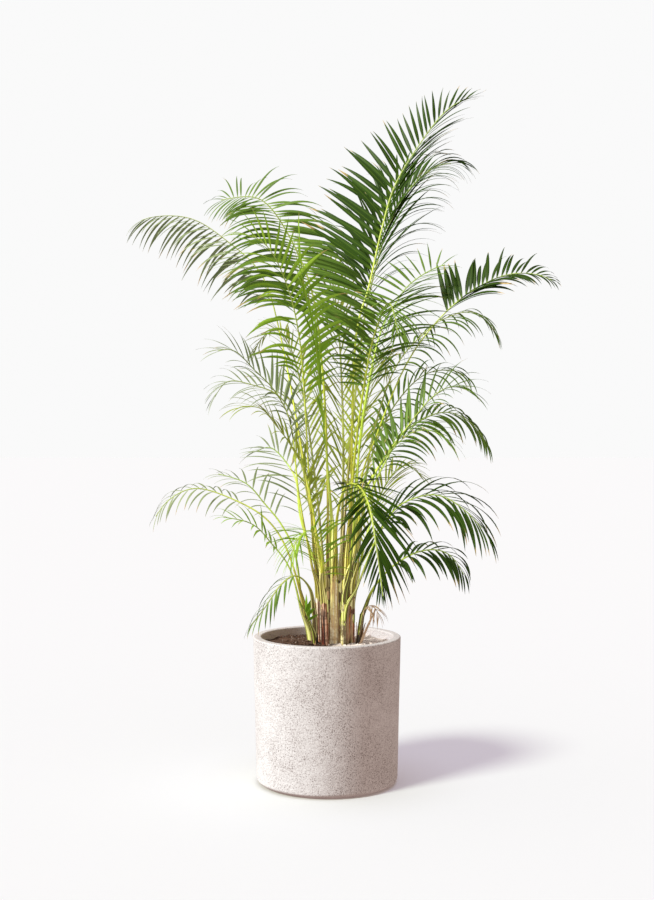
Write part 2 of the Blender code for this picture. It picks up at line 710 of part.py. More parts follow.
def main():
    """Builds the potted palm."""
    clear_scene()
    collection = new_collection("potted_palm")
    cutters = new_collection("cutters")
    planter = build_planter(collection)
    soil = build_soil(collection)
    canes = build_canes(collection, cutters, soil)
    build_fronds(collection, still_pieces([planter, soil, *canes.values()]))


main()
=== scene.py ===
"""A feather-leaved palm clump in a cement planter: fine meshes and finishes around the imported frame.

Every size is in metres. The plant's own points are given from the middle of the soil's surface.
"""

import logging
import math
import random
from dataclasses import dataclass
from enum import Enum
from functools import cache
from typing import Callable, Iterator, Sequence

import bpy
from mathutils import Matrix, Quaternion, Vector, noise
from mathutils.kdtree import KDTree


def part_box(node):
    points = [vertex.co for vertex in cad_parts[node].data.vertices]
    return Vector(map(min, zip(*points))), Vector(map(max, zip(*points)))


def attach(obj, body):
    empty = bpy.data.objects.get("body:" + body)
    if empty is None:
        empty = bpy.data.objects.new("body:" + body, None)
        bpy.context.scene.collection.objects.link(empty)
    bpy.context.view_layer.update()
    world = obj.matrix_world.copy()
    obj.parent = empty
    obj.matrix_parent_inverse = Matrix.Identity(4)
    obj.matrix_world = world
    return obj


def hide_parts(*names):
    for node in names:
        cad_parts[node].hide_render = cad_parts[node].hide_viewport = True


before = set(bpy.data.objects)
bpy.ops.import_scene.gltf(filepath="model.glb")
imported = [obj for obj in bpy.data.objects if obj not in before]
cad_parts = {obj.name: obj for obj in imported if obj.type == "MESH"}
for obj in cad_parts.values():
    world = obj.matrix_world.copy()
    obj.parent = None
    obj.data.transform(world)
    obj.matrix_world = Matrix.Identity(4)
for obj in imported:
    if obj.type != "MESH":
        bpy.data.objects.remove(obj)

LOG = logging.getLogger("potted_palm")
BODY = "root"
BAKE_MAP = "OFBake"
UP = Vector((0.0, 0.0, 1.0))

Colour = tuple[float, float, float]
Point = tuple[float, float, float]
Ring = list[Vector]
Pieces = list[bpy.types.Object]


# Node tools


class Value:
    """An output in a node tree that takes part in sums and products, which add Math nodes."""

    def __init__(self, graph: "Graph", socket: bpy.types.NodeSocket) -> None:
        """Holds an output socket of a graph."""
        self.graph, self.socket = graph, socket

    def __add__(self, other: object) -> "Value":
        """This and another."""
        return self.graph.math("ADD", self, other)

    def __sub__(self, other: object) -> "Value":
        """This less another."""
        return self.graph.math("SUBTRACT", self, other)

    def __rsub__(self, other: object) -> "Value":
        """Another less this."""
        return self.graph.math("SUBTRACT", other, self)

    def __mul__(self, other: object) -> "Value":
        """This times another."""
        return self.graph.math("MULTIPLY", self, other)

    def beside(self, output: int | str) -> "Value":
        """Another output of the same node."""
        return Value(self.graph, self.socket.node.outputs[output])


class Graph:
    """Adds nodes to one tree and joins them, so that a finish reads as a list of steps."""

    def __init__(self, tree: bpy.types.NodeTree) -> None:
        """Wraps a material's or a group's node tree."""
        self.tree = tree

    def node(self, kind: str, **settings: object) -> bpy.types.Node:
        """Adds a node.

        Args:
            kind: the node type's identifier.
            **settings: properties to set on the node.

        Returns:
            The new node.
        """
        made = self.tree.nodes.new(kind)
        for name, value in settings.items():
            setattr(made, name, value)
        return made

    def feed(self, socket: bpy.types.NodeSocket, value: object) -> None:
        """Joins an input to an output, or sets the input's own value.

        Args:
            socket: the input to feed.
            value: a value, an output socket, a number or a colour.
        """
        value = value.socket if isinstance(value, Value) else value
        if isinstance(value, bpy.types.NodeSocket):
            self.tree.links.new(value, socket)
        elif isinstance(value, tuple) and len(value) < len(socket.default_value):
            socket.default_value = (*value, 1.0)
        else:
            socket.default_value = value

    def make(self, kind: str, feeds: dict, output: int | str = 0, **settings: object) -> Value:
        """Adds a node with its inputs fed.

        Args:
            kind: the node type's identifier.
            feeds: what goes into its inputs, by their name or number.
            output: the output to give.
            **settings: properties to set on the node.

        Returns:
            The value of that output.
        """
        made = self.node(kind, **settings)
        for key, value in feeds.items():
            self.feed(made.inputs[key], value)
        return Value(self, made.outputs[output])

    def math(self, operation: str, first: object, second: object = 0.0, clamp: bool = False) -> Value:
        """The result of a Math node, kept between 0 and 1 if clamp is set."""
        return self.make("ShaderNodeMath", {0: first, 1: second}, operation=operation, use_clamp=clamp)

    def ramp(
        self, value: object, low: object, high: object, to_low: float = 0.0, to_high: float = 1.0
    ) -> Value:
        """Maps a value's range from low to high smoothly to the range from to_low to to_high."""
        feeds = dict(enumerate((value, low, high, to_low, to_high)))
        return self.make("ShaderNodeMapRange", feeds, "Result", interpolation_type="SMOOTHSTEP", clamp=True)

    def mix(self, share: object, first: object, second: object) -> Value:
        """A mix of two colours, with a share of the second."""
        return self.make("ShaderNodeMix", {0: share, 6: first, 7: second}, 2, data_type="RGBA")

    def layers(self, base: object, *coats: tuple[object, object]) -> Value:
        """A colour with coats laid over it in turn, each with its share and its colour."""
        for share, colour in coats:
            base = self.mix(share, base, colour)
        return base

    def field(self, name: str) -> Value:
        """The value of a mesh attribute, as a number."""
        return self.make("ShaderNodeAttribute", {}, "Fac", attribute_name=name)

    def place(self) -> Value:
        """The point's own place in metres."""
        return self.make("ShaderNodeTexCoord", {}, "Object")

    def grain(self, place: Value, scale: object, detail: float, rough: float = 0.55) -> Value:
        """The value of a noise texture, with its scale, its octaves and the strength of the fine ones."""
        feeds = {"Vector": place, "Scale": scale, "Detail": detail, "Roughness": rough}
        return self.make("ShaderNodeTexNoise", feeds)

    def join(self, x: Value, y: Value, z: Value) -> Value:
        """A vector of three numbers."""
        return self.make("ShaderNodeCombineXYZ", {0: x, 1: y, 2: z})


class Effect(Enum):
    """The shader effects that several finishes share, one node group each."""

    MOTTLE = "mottle"
    FIBRES = "fibres"
    DRY_ENDS = "dry_ends"
    PITS = "pits"


class EffectGraph(Graph):
    """A shared effect's own graph, with named number inputs and outputs."""

    def __init__(self, effect: Effect, inputs: dict[str, float], outputs: Sequence[str]) -> None:
        """Starts the node group.

        Args:
            effect: the effect that the group makes.
            inputs: each input's name and default.
            outputs: each output's name.
        """
        super().__init__(bpy.data.node_groups.new(effect.value, "ShaderNodeTree"))
        new_socket = self.tree.interface.new_socket
        for name, value in inputs.items():
            new_socket(name=name, in_out="INPUT", socket_type="NodeSocketFloat").default_value = value
        for name in outputs:
            new_socket(name=name, in_out="OUTPUT", socket_type="NodeSocketFloat")
        given = self.node("NodeGroupInput").outputs
        self.given = {socket.name: Value(self, socket) for socket in given if socket.name}

    def spread(self, value: Value, gain: float) -> Value:
        """A value pushed away from a half by the Contrast input, kept between 0 and 1."""
        return self.math("ADD", (value - 0.5) * (self.given["Contrast"] * gain), 0.5, clamp=True)

    def put(self, **results: Value) -> bpy.types.NodeTree:
        """Feeds the group's outputs.

        Args:
            **results: what goes out, by the outputs' names.

        Returns:
            The finished group.
        """
        out = self.node("NodeGroupOutput")
        for name, value in results.items():
            self.feed(out.inputs[name], value)
        return self.tree


def mottle_group() -> bpy.types.NodeTree:
    """Soft blotches at two sizes, for stains and uneven growth."""
    graph = EffectGraph(Effect.MOTTLE, {"Size": 12.0, "Contrast": 1.0}, ("Mask",))
    place, size = graph.place(), graph.given["Size"]
    broad = graph.grain(place, size, 4.0, 0.5)
    fine = graph.grain(place, size * 4.3, 4.0, 0.5)
    return graph.put(Mask=graph.spread(broad * 0.65 + fine * 0.35, 2.5))


def fibres_group() -> bpy.types.NodeTree:
    """Streaks that run along a leaflet, a stalk or a stem, from its own along and across fields."""
    inputs = {"Count": 14.0, "Stretch": 1.2, "Contrast": 1.0}
    graph = EffectGraph(Effect.FIBRES, inputs, ("Mask", "Height"))
    across = graph.field("across") * graph.given["Count"]
    along = graph.field("along") * graph.given["Stretch"]
    own = graph.field("vary") * 37.0
    streak = graph.grain(graph.join(across, along, own), 1.0, 2.0)
    ridge = graph.grain(graph.join(across * 2.7, along, own), 1.0, 1.0)
    return graph.put(Mask=graph.spread(streak, 2.4), Height=streak * 0.5 + ridge * 0.5)


def dry_ends_group() -> bpy.types.NodeTree:
    """Where a leaflet's end has dried, further down on some leaflets than on others."""
    graph = EffectGraph(Effect.DRY_ENDS, {"Start": 0.9, "Share": 0.5}, ("Mask",))
    ragged = (graph.grain(graph.place(), 160.0, 2.0) - 0.5) * 0.12
    chosen = graph.ramp(graph.field("vary"), 1.0 - graph.given["Share"], 1.0, 0.0, 0.16)
    start = graph.given["Start"] - chosen
    return graph.put(Mask=graph.ramp(graph.field("along") + ragged, start, start + 0.10))


def pits_group() -> bpy.types.NodeTree:
    """Scattered small pits or grains: a mask of some of the cells' middles, and how deep they go."""
    graph = EffectGraph(Effect.PITS, {"Size": 160.0, "Radius": 0.30, "Share": 0.4}, ("Mask", "Height"))
    place, radius = graph.place(), graph.given["Radius"]
    jitter = graph.make("ShaderNodeTexNoise", {"Vector": place, "Scale": 260.0}, "Color")
    feeds = {0: jitter, 1: (0.0016, 0.0016, 0.0016), 2: place}
    wobbly = graph.make("ShaderNodeVectorMath", feeds, operation="MULTIPLY_ADD")
    cells = graph.make("ShaderNodeTexVoronoi", {"Vector": wobbly, "Scale": graph.given["Size"]}, "Distance")
    pick = graph.make("ShaderNodeSeparateColor", {0: cells.beside("Color")})
    inside = graph.ramp(cells, radius * 0.55, radius, 1.0, 0.0)
    kept = graph.math("LESS_THAN", pick, graph.given["Share"])
    mask = inside * kept * (pick.beside(1) * 0.7 + 0.3)
    return graph.put(Mask=mask, Height=1.0 - mask)


GROUPS = {
    Effect.MOTTLE: mottle_group(),
    Effect.FIBRES: fibres_group(),
    Effect.DRY_ENDS: dry_ends_group(),
    Effect.PITS: pits_group(),
}


class MaterialGraph(Graph):
    """A material's graph, with its Principled BSDF."""

    def __init__(self, name: str) -> None:
        """Starts a material.

        Args:
            name: the material's name.
        """
        self.material = bpy.data.materials.new(name)
        self.material.use_nodes = True
        super().__init__(self.material.node_tree)
        self.shader = self.tree.nodes["Principled BSDF"]

    def use(self, effect: Effect, **values: float) -> dict[str, Value]:
        """Places a shared effect.

        Args:
            effect: the effect.
            **values: its inputs, by name.

        Returns:
            Its outputs, by name.
        """
        placed = self.node("ShaderNodeGroup", node_tree=GROUPS[effect])
        for name, value in values.items():
            placed.inputs[name].default_value = value
        return {socket.name: Value(self, socket) for socket in placed.outputs}

    def mottle(self, size: float, contrast: float) -> Value:
        """The mask of soft blotches of a size and contrast."""
        return self.use(Effect.MOTTLE, Size=size, Contrast=contrast)["Mask"]

    def fibres(self, count: float, stretch: float, contrast: float) -> dict[str, Value]:
        """The mask and height of streaks with a count across, a stretch along and a contrast."""
        return self.use(Effect.FIBRES, Count=count, Stretch=stretch, Contrast=contrast)

    def dress(
        self, colour: Value, roughness: object, height: Value, strength: float, depth: float
    ) -> bpy.types.Material:
        """Feeds the shader.

        Args:
            colour: the base colour.
            roughness: the roughness.
            height: the relief's height, from 0 to 1.
            strength: the Bump node's strength.
            depth: the relief's real depth.

        Returns:
            The material.
        """
        bump = self.make("ShaderNodeBump", {"Strength": strength, "Distance": depth, "Height": height})
        for name, value in (("Base Color", colour), ("Roughness", roughness), ("Normal", bump)):
            self.feed(self.shader.inputs[name], value)
        return self.material


# Finishes


@dataclass(frozen=True)
class LeafFinish:
    """A leaflet's blade: two greens, its dried ends, and how much light it lets through."""

    name: str
    deep: Colour
    fresh: Colour
    through: Colour
    glow: float = 0.30
    sheen: float = 0.20
    dry: Colour = (0.42, 0.30, 0.13)
    dry_share: float = 0.5
    roughness: float = 0.42

    def material(self) -> bpy.types.Material:
        """Builds the blade's material."""
        graph = MaterialGraph(self.name)
        fibres = graph.fibres(9.0, 1.5, 0.7)
        ends = graph.use(Effect.DRY_ENDS, Start=0.93, Share=self.dry_share)["Mask"]
        own = graph.field("vary") * 0.55 + graph.mottle(16.0, 0.9) * 0.30
        share = graph.math("ADD", own, fibres["Mask"] * 0.25, clamp=True)
        midrib = graph.ramp(graph.math("ABSOLUTE", graph.field("across")), 0.0, 0.14, 0.45, 0.0)
        base = graph.ramp(graph.field("along"), 0.0, 0.12, 0.5, 0.0)
        coats = ((share, self.fresh), (midrib, self.through), (base, self.through), (ends, self.dry))
        blade = graph.layers(self.deep, *coats)
        graph.dress(blade, fibres["Mask"] * 0.16 + self.roughness, fibres["Height"], 0.5, 0.0004)
        graph.shader.inputs["Specular IOR Level"].default_value = self.sheen
        lit = graph.make("ShaderNodeBsdfTranslucent", {"Color": graph.mix(0.65, blade, self.through)})
        both = graph.make("ShaderNodeMixShader", {0: self.glow, 1: graph.shader.outputs[0], 2: lit})
        graph.feed(graph.tree.nodes["Material Output"].inputs["Surface"], both)
        return graph.material


@dataclass(frozen=True)
class StalkFinish:
    """A petiole and rachis: golden at the foot, green further up, with ribs, dark bands, and pale streaks
    near the foot that are partly painted highlights.
    """

    name: str
    foot: Colour
    middle: Colour
    end: Colour
    shade: Colour = (0.05, 0.055, 0.006)
    band: Colour = (0.060, 0.034, 0.006)
    # Pale streaks near the foot, partly painted highlights.
    bloom_and_highlight: Colour = (0.95, 0.91, 0.46)
    roughness: float = 0.38

    def material(self) -> bpy.types.Material:
        """Builds the stalk's material."""
        graph = MaterialGraph(self.name)
        along = graph.field("along")
        fibres, bands = graph.fibres(2.4, 7.0, 1.8), graph.fibres(2.2, 2.0, 3.0)["Mask"]
        blotch = graph.mottle(30.0, 1.8)
        lengthwise = ((graph.ramp(along, 0.02, 0.42), self.middle), (graph.ramp(along, 0.35, 0.85), self.end))
        colour = graph.layers(self.foot, *lengthwise)
        darker = graph.mix(0.66, colour, self.shade)
        low = graph.ramp(along, 0.0, 0.22, 1.0, 0.25)
        colour = graph.layers(
            colour,
            (graph.ramp(blotch, 0.55, 0.9, 0.0, 0.55), darker),
            (fibres["Mask"] * 0.45, darker),
            (graph.ramp(bands, 0.52, 0.68, 0.0, 0.92) * low, self.band),
            # Pale streaks near the foot, partly painted highlights.
            (graph.ramp(bands, 0.08, 0.34, 0.62, 0.0) * low, self.bloom_and_highlight),
        )
        return graph.dress(colour, blotch * 0.2 + self.roughness, fibres["Height"], 0.5, 0.0006)


@dataclass(frozen=True)
class BarkFinish:
    """A cane: its colour at the soil and higher up, darker ring scars, dark lengthwise streaks that are
    partly painted shade, and pale waxy streaks that are partly painted sunlight.
    """

    name: str
    low: Colour
    high: Colour
    scar_and_shade: Colour
    bloom_and_highlight: Colour
    roughness: float = 0.48

    def material(self) -> bpy.types.Material:
        """Builds the cane's material."""
        graph = MaterialGraph(self.name)
        fibres, cracks_and_shade = graph.fibres(1.7, 1.3, 2.6), graph.fibres(4.2, 2.0, 2.6)["Mask"]
        colour = graph.layers(
            self.low,
            (graph.ramp(graph.field("along"), 0.15, 0.8), self.high),
            # Pale waxy streaks, pushed towards white as partly painted sun patches.
            (graph.ramp(fibres["Mask"], 0.34, 0.50, 0.0, 0.92), self.bloom_and_highlight),
            # Dark lengthwise streaks, strong enough to be partly painted shade.
            (graph.ramp(cracks_and_shade, 0.48, 0.62, 0.0, 0.95), self.scar_and_shade),
            (graph.ramp(graph.mottle(42.0, 1.6), 0.45, 0.80, 0.0, 0.65), self.scar_and_shade),
            (graph.field("scar_and_shade") * 0.55, self.scar_and_shade),
        )
        return graph.dress(colour, fibres["Mask"] * 0.25 + self.roughness, fibres["Height"], 0.6, 0.0010)


@dataclass(frozen=True)
class CementFinish:
    """The planter's cast cement: cloudy and finely grained, with small brown pits, and painted shade that
    darkens the inside and the rim top.
    """

    name: str
    pale: Colour
    cloud: Colour
    pit: Colour
    # Painted shade over the inside of the pot and the rim top.
    painted_shade: Colour
    roughness: float = 0.86

    def material(self) -> bpy.types.Material:
        """Builds the cement's material."""
        graph = MaterialGraph(self.name)
        cloud, grain = graph.mottle(8.0, 1.5), graph.mottle(260.0, 3.2)
        pits = graph.use(Effect.PITS, Size=230.0, Radius=0.42, Share=0.62)
        specks = graph.use(Effect.PITS, Size=400.0, Radius=0.55, Share=0.85)
        patchy = cloud * 0.70 + 0.38
        colour = graph.layers(
            self.pale,
            (cloud * 0.54, self.cloud),
            (grain * 0.34, graph.mix(0.35, self.cloud, self.pit)),
            (specks["Mask"] * 0.72 * patchy, self.pit),
            (pits["Mask"] * 0.80 * patchy, self.pit),
            # Painted shade: a darker, pinker colour over the inner wall, the inner floor, the rim top and the
            # underside.
            (graph.field("scar_and_shade") * 0.55, self.painted_shade),
        )
        relief = grain * 0.25 + pits["Height"] * 0.75 + specks["Height"] * 0.35
        return graph.dress(colour, grain * 0.1 + self.roughness, relief, 0.8, 0.0009)


@dataclass(frozen=True)
class SoilFinish:
    """Potting mix: brown crumbs and pale grit on a pale ground that is partly painted sunlight, with painted
    shade from the rim darkening the left side.
    """

    name: str
    # The first colour is the pale ground, partly painted sunlight; the second is the dark brown painted shade
    # on the left side.
    dry: Colour
    painted_shade: Colour
    grit: Colour
    # Where the painted shade fades out, from left to right across the soil.
    shade_from: float
    shade_to: float
    roughness: float = 0.95

    def material(self) -> bpy.types.Material:
        """Builds the soil's material."""
        graph = MaterialGraph(self.name)
        blotch = graph.mottle(60.0, 1.5)
        grit = graph.use(Effect.PITS, Size=230.0, Radius=0.40, Share=0.30)["Mask"]
        sideways = graph.make("ShaderNodeSeparateXYZ", {0: graph.place()}) + (blotch - 0.5) * 0.03
        # Painted shade: full on the left and fading out to the right, standing in for the rim's shadow.
        painted_shade = graph.ramp(sideways, self.shade_from, self.shade_to, 1.0, 0.0)
        colour = graph.mix(painted_shade, self.dry, self.painted_shade)
        # The blotches take a little of the painted shade's dark brown.
        darker = graph.mix(0.12, colour, self.painted_shade)
        colour = graph.layers(colour, (blotch * 0.7, darker), (grit * 0.4, self.grit))
        return graph.dress(colour, self.roughness, blotch, 0.8, 0.003)


Finish = LeafFinish | StalkFinish | BarkFinish | CementFinish | SoilFinish


@cache
def dressed(finish: Finish) -> bpy.types.Material:
    """The material of a finish, built the first time it is asked for."""
    return finish.material()


class LeafTone(Enum):
    """The greens that the clump's leaves show, from old outer fronds to the young middle; on the back fronds
    the golden tone is partly painted light shining through them.
    """

    INKY = LeafFinish(
        "leaf_inky", (0.004, 0.015, 0.0005), (0.022, 0.056, 0.002), (0.12, 0.21, 0.01), 0.12, 0.12,
    )
    DEEP = LeafFinish(
        "leaf_deep", (0.007, 0.025, 0.001), (0.036, 0.088, 0.005), (0.16, 0.29, 0.015), 0.20, 0.18,
    )
    MATURE = LeafFinish("leaf_mature", (0.032, 0.080, 0.008), (0.150, 0.260, 0.036), (0.32, 0.50, 0.05))
    PALE = LeafFinish("leaf_pale", (0.115, 0.160, 0.075), (0.300, 0.360, 0.200), (0.46, 0.56, 0.27))
    FRESH = LeafFinish("leaf_fresh", (0.100, 0.215, 0.014), (0.400, 0.590, 0.070), (0.54, 0.76, 0.07), 0.40)
    GOLDEN = LeafFinish("leaf_golden", (0.200, 0.270, 0.034), (0.420, 0.490, 0.075), (0.62, 0.66, 0.11), 0.38)
    YOUNG = LeafFinish("leaf_young", (0.130, 0.270, 0.020), (0.280, 0.500, 0.045), (0.48, 0.70, 0.08), 0.38)
    STRAW = LeafFinish(
        "leaf_straw", (0.30, 0.20, 0.13), (0.56, 0.42, 0.30), (0.62, 0.50, 0.38),
        glow=0.15, dry=(0.12, 0.08, 0.06), dry_share=1.0, roughness=0.7,
    )


class StalkTone(Enum):
    """The colours of the petioles and rachises."""

    GOLD = StalkFinish("stalk_gold", (0.60, 0.55, 0.035), (0.68, 0.82, 0.07), (0.26, 0.38, 0.05))
    LIME = StalkFinish("stalk_lime", (0.40, 0.50, 0.035), (0.54, 0.76, 0.05), (0.25, 0.42, 0.04))
    DUSKY = StalkFinish("stalk_dusky", (0.20, 0.14, 0.03), (0.36, 0.44, 0.06), (0.18, 0.25, 0.04))
    STRAW = StalkFinish(
        "stalk_straw", (0.10, 0.045, 0.025), (0.40, 0.22, 0.14), (0.24, 0.13, 0.09), roughness=0.75,
    )


class BarkTone(Enum):
    """The canes' colours: at the soil, higher up, the scars with their dark streaks that are partly painted
    shade, and the pale streaks that are partly painted sunlight.
    """

    OLIVE = BarkFinish(
        "bark_olive", (0.40, 0.34, 0.10), (0.54, 0.56, 0.09), (0.080, 0.050, 0.020), (0.96, 0.92, 0.58),
    )
    CREAM = BarkFinish(
        "bark_cream", (0.84, 0.72, 0.46), (0.84, 0.80, 0.24), (0.56, 0.38, 0.17), (0.98, 0.93, 0.76),
    )
    PINK = BarkFinish(
        "bark_pink", (0.66, 0.34, 0.20), (0.76, 0.62, 0.07), (0.10, 0.025, 0.010), (0.99, 0.88, 0.76),
    )
    MAROON = BarkFinish(
        "bark_maroon", (0.26, 0.05, 0.025), (0.46, 0.16, 0.03), (0.030, 0.008, 0.005), (0.92, 0.58, 0.40),
    )
    BROWN = BarkFinish(
        "bark_brown", (0.04, 0.018, 0.009), (0.15, 0.10, 0.025), (0.012, 0.007, 0.004), (0.56, 0.36, 0.18),
    )
    RUST = BarkFinish(
        "bark_rust", (0.50, 0.14, 0.020), (0.56, 0.26, 0.04), (0.08, 0.020, 0.006), (0.96, 0.66, 0.40),
    )


# The last colour is the painted shade inside the pot and on the rim top.
CEMENT = CementFinish(
    "cement", (0.95, 0.872, 0.842), (0.74, 0.65, 0.62), (0.15, 0.082, 0.067), (0.62, 0.50, 0.485),
)
# Pale ground that is partly painted sunlight, dark brown painted shade on the left, grit, and where the
# painted shade fades out.
SOIL = SoilFinish("potting_mix", (0.80, 0.72, 0.71), (0.048, 0.019, 0.009), (0.66, 0.60, 0.58), -0.01, 0.05)


# Mesh tools


@dataclass(frozen=True)
class Patch:
    """A tube's place on the bake map: a box from (left, low) to (right, high)."""

    left: float
    low: float
    right: float
    high: float

    def at(self, across: float, along: float) -> tuple[float, float]:
        """The map's point at two shares of the box."""
        return self.left + (self.right - self.left) * across, self.low + (self.high - self.low) * along


class Shape:
    """Gathers closed tubes into one mesh, with each point's own fields and each corner's place on the map."""

    def __init__(self, name: str) -> None:
        """Starts an empty shape.

        Args:
            name: the piece's name.
        """
        self.name = name
        self.points: list[Vector] = []
        self.faces: list[tuple[int, ...]] = []
        self.corners: list[tuple[float, float]] = []
        self.slots: list[int] = []
        self.fields: dict[str, list[float]] = {"along": [], "across": [], "vary": [], "scar_and_shade": []}

    def tube(
        self, rings: Sequence[Ring], patch: Patch, slot: int = 0, along: Sequence[float] = (),
        across: Sequence[float] = (), vary: float = 0.5, scar_and_shade: Sequence[float] = (),
    ) -> None:
        """Adds a closed tube through rings of points, capped at both ends.

        Args:
            rings: the rings, all of one size, each turning the same way.
            patch: the tube's box on the bake map.
            slot: its material slot.
            along: each ring's place along the piece, evenly spaced if left out.
            across: each ring point's place across the piece, around the ring if left out.
            vary: a number of this tube's own.
            scar_and_shade: each ring's share of the colour of cane scars, and on the planter its share of
                painted shade, none if left out.
        """
        start, spans, size = len(self.points), len(rings) - 1, len(rings[0])
        along = along or [index / spans for index in range(spans + 1)]
        across = across or [2.0 * abs(2.0 * index / size - 1.0) for index in range(size)]
        scar_and_shade = scar_and_shade or [0.0] * (spans + 1)
        for index, ring in enumerate(rings):
            self.points += ring
            ring_fields = ([along[index]] * size, across, [vary] * size, [scar_and_shade[index]] * size)
            for field, values in zip(self.fields.values(), ring_fields):
                field += values
        for index in range(spans):
            low, high = index / spans, (index + 1) / spans
            near, far = start + index * size, start + (index + 1) * size
            for corner in range(size):
                following = (corner + 1) % size
                left, right = corner / size, (corner + 1) / size
                self.faces.append((near + corner, near + following, far + following, far + corner))
                box = ((left, low), (right, low), (right, high), (left, high))
                self.corners += [patch.at(x, y) for x, y in box]
        last = start + spans * size
        self.faces += [tuple(range(start + size - 1, start - 1, -1)), tuple(range(last, last + size))]
        self.corners += [patch.at(0.5, 0.0)] * size + [patch.at(0.5, 1.0)] * size
        self.slots += [slot] * (spans * size + 2)

    def make(self, *finishes: Finish, sharp: float = 50.0) -> bpy.types.Object:
        """Makes the mesh object.

        Args:
            *finishes: the finish of each slot.
            sharp: the angle in degrees above which an edge stays sharp.

        Returns:
            The object, linked to the scene.
        """
        mesh = bpy.data.meshes.new(self.name)
        mesh.from_pydata(self.points, [], self.faces)
        for finish in finishes:
            mesh.materials.append(dressed(finish))
        mesh.polygons.foreach_set("material_index", self.slots)
        for field, values in self.fields.items():
            mesh.attributes.new(field, "FLOAT", "POINT").data.foreach_set("value", values)
        layer = mesh.uv_layers.new(name=BAKE_MAP)
        layer.data.foreach_set("uv", [number for corner in self.corners for number in corner])
        mesh.update()
        mesh.shade_smooth()
        mesh.set_sharp_from_angle(angle=math.radians(sharp))
        return link(self.name, mesh)


def link(name: str, data: bpy.types.ID) -> bpy.types.Object:
    """A new object of some data, linked to the scene."""
    obj = bpy.data.objects.new(name, data)
    bpy.context.scene.collection.objects.link(obj)
    return obj


def declare(obj: bpy.types.Object, slot: str, node: str) -> bpy.types.Object:
    """Puts a piece on the frame and reports it.

    Args:
        obj: the piece.
        slot: the record's material slot; not used.
        node: the CAD node that it stands for.

    Returns:
        The piece.
    """
    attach(obj, BODY)
    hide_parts(node)
    LOG.info("%s: %d faces, stands for %s", obj.name, len(obj.data.polygons), node)
    return obj


def heading(angle: float, reach: float = 1.0, height: float = 0.0) -> Vector:
    """A point at an angle and a reach from the upright axis, at a height."""
    return Vector((reach * math.cos(angle), reach * math.sin(angle), height))


def turns(count: int) -> list[float]:
    """The angles of so many even steps round a circle."""
    return [math.tau * index / count for index in range(count)]


def smooth_step(value: float, low: float, high: float) -> float:
    """A value's smooth share of the way from low to high."""
    share = min(1.0, max(0.0, (value - low) / (high - low)))
    return share * share * (3.0 - 2.0 * share)


# Where a strip of dry sheath lies, from the share of its length and the place across it, -1 to 1:
# the stem's middle, the angle round the stem and the reach from its middle.
Lie = Callable[[float, float], tuple[Vector, float, float]]


def dry_strip(rows: int, half_steps: int, lie: Lie, thickness: float = 0.0005) -> list[Ring]:
    """The rings of a strip of dry sheath that hugs a stem.

    Args:
        rows: its steps along the stem.
        half_steps: its steps from the middle to an edge.
        lie: where it lies.
        thickness: how thick it is.

    Returns:
        The rings.
    """
    rings = []
    for row in range(rows + 1):
        outer, inner = [], []
        for step in range(2 * half_steps + 1):
            centre, angle, reach = lie(row / rows, step / half_steps - 1.0)
            outer.append(centre + heading(angle) * (reach + thickness))
            inner.append(centre + heading(angle) * reach)
        rings.append(outer + inner[::-1])
    return rings


# Planter and soil


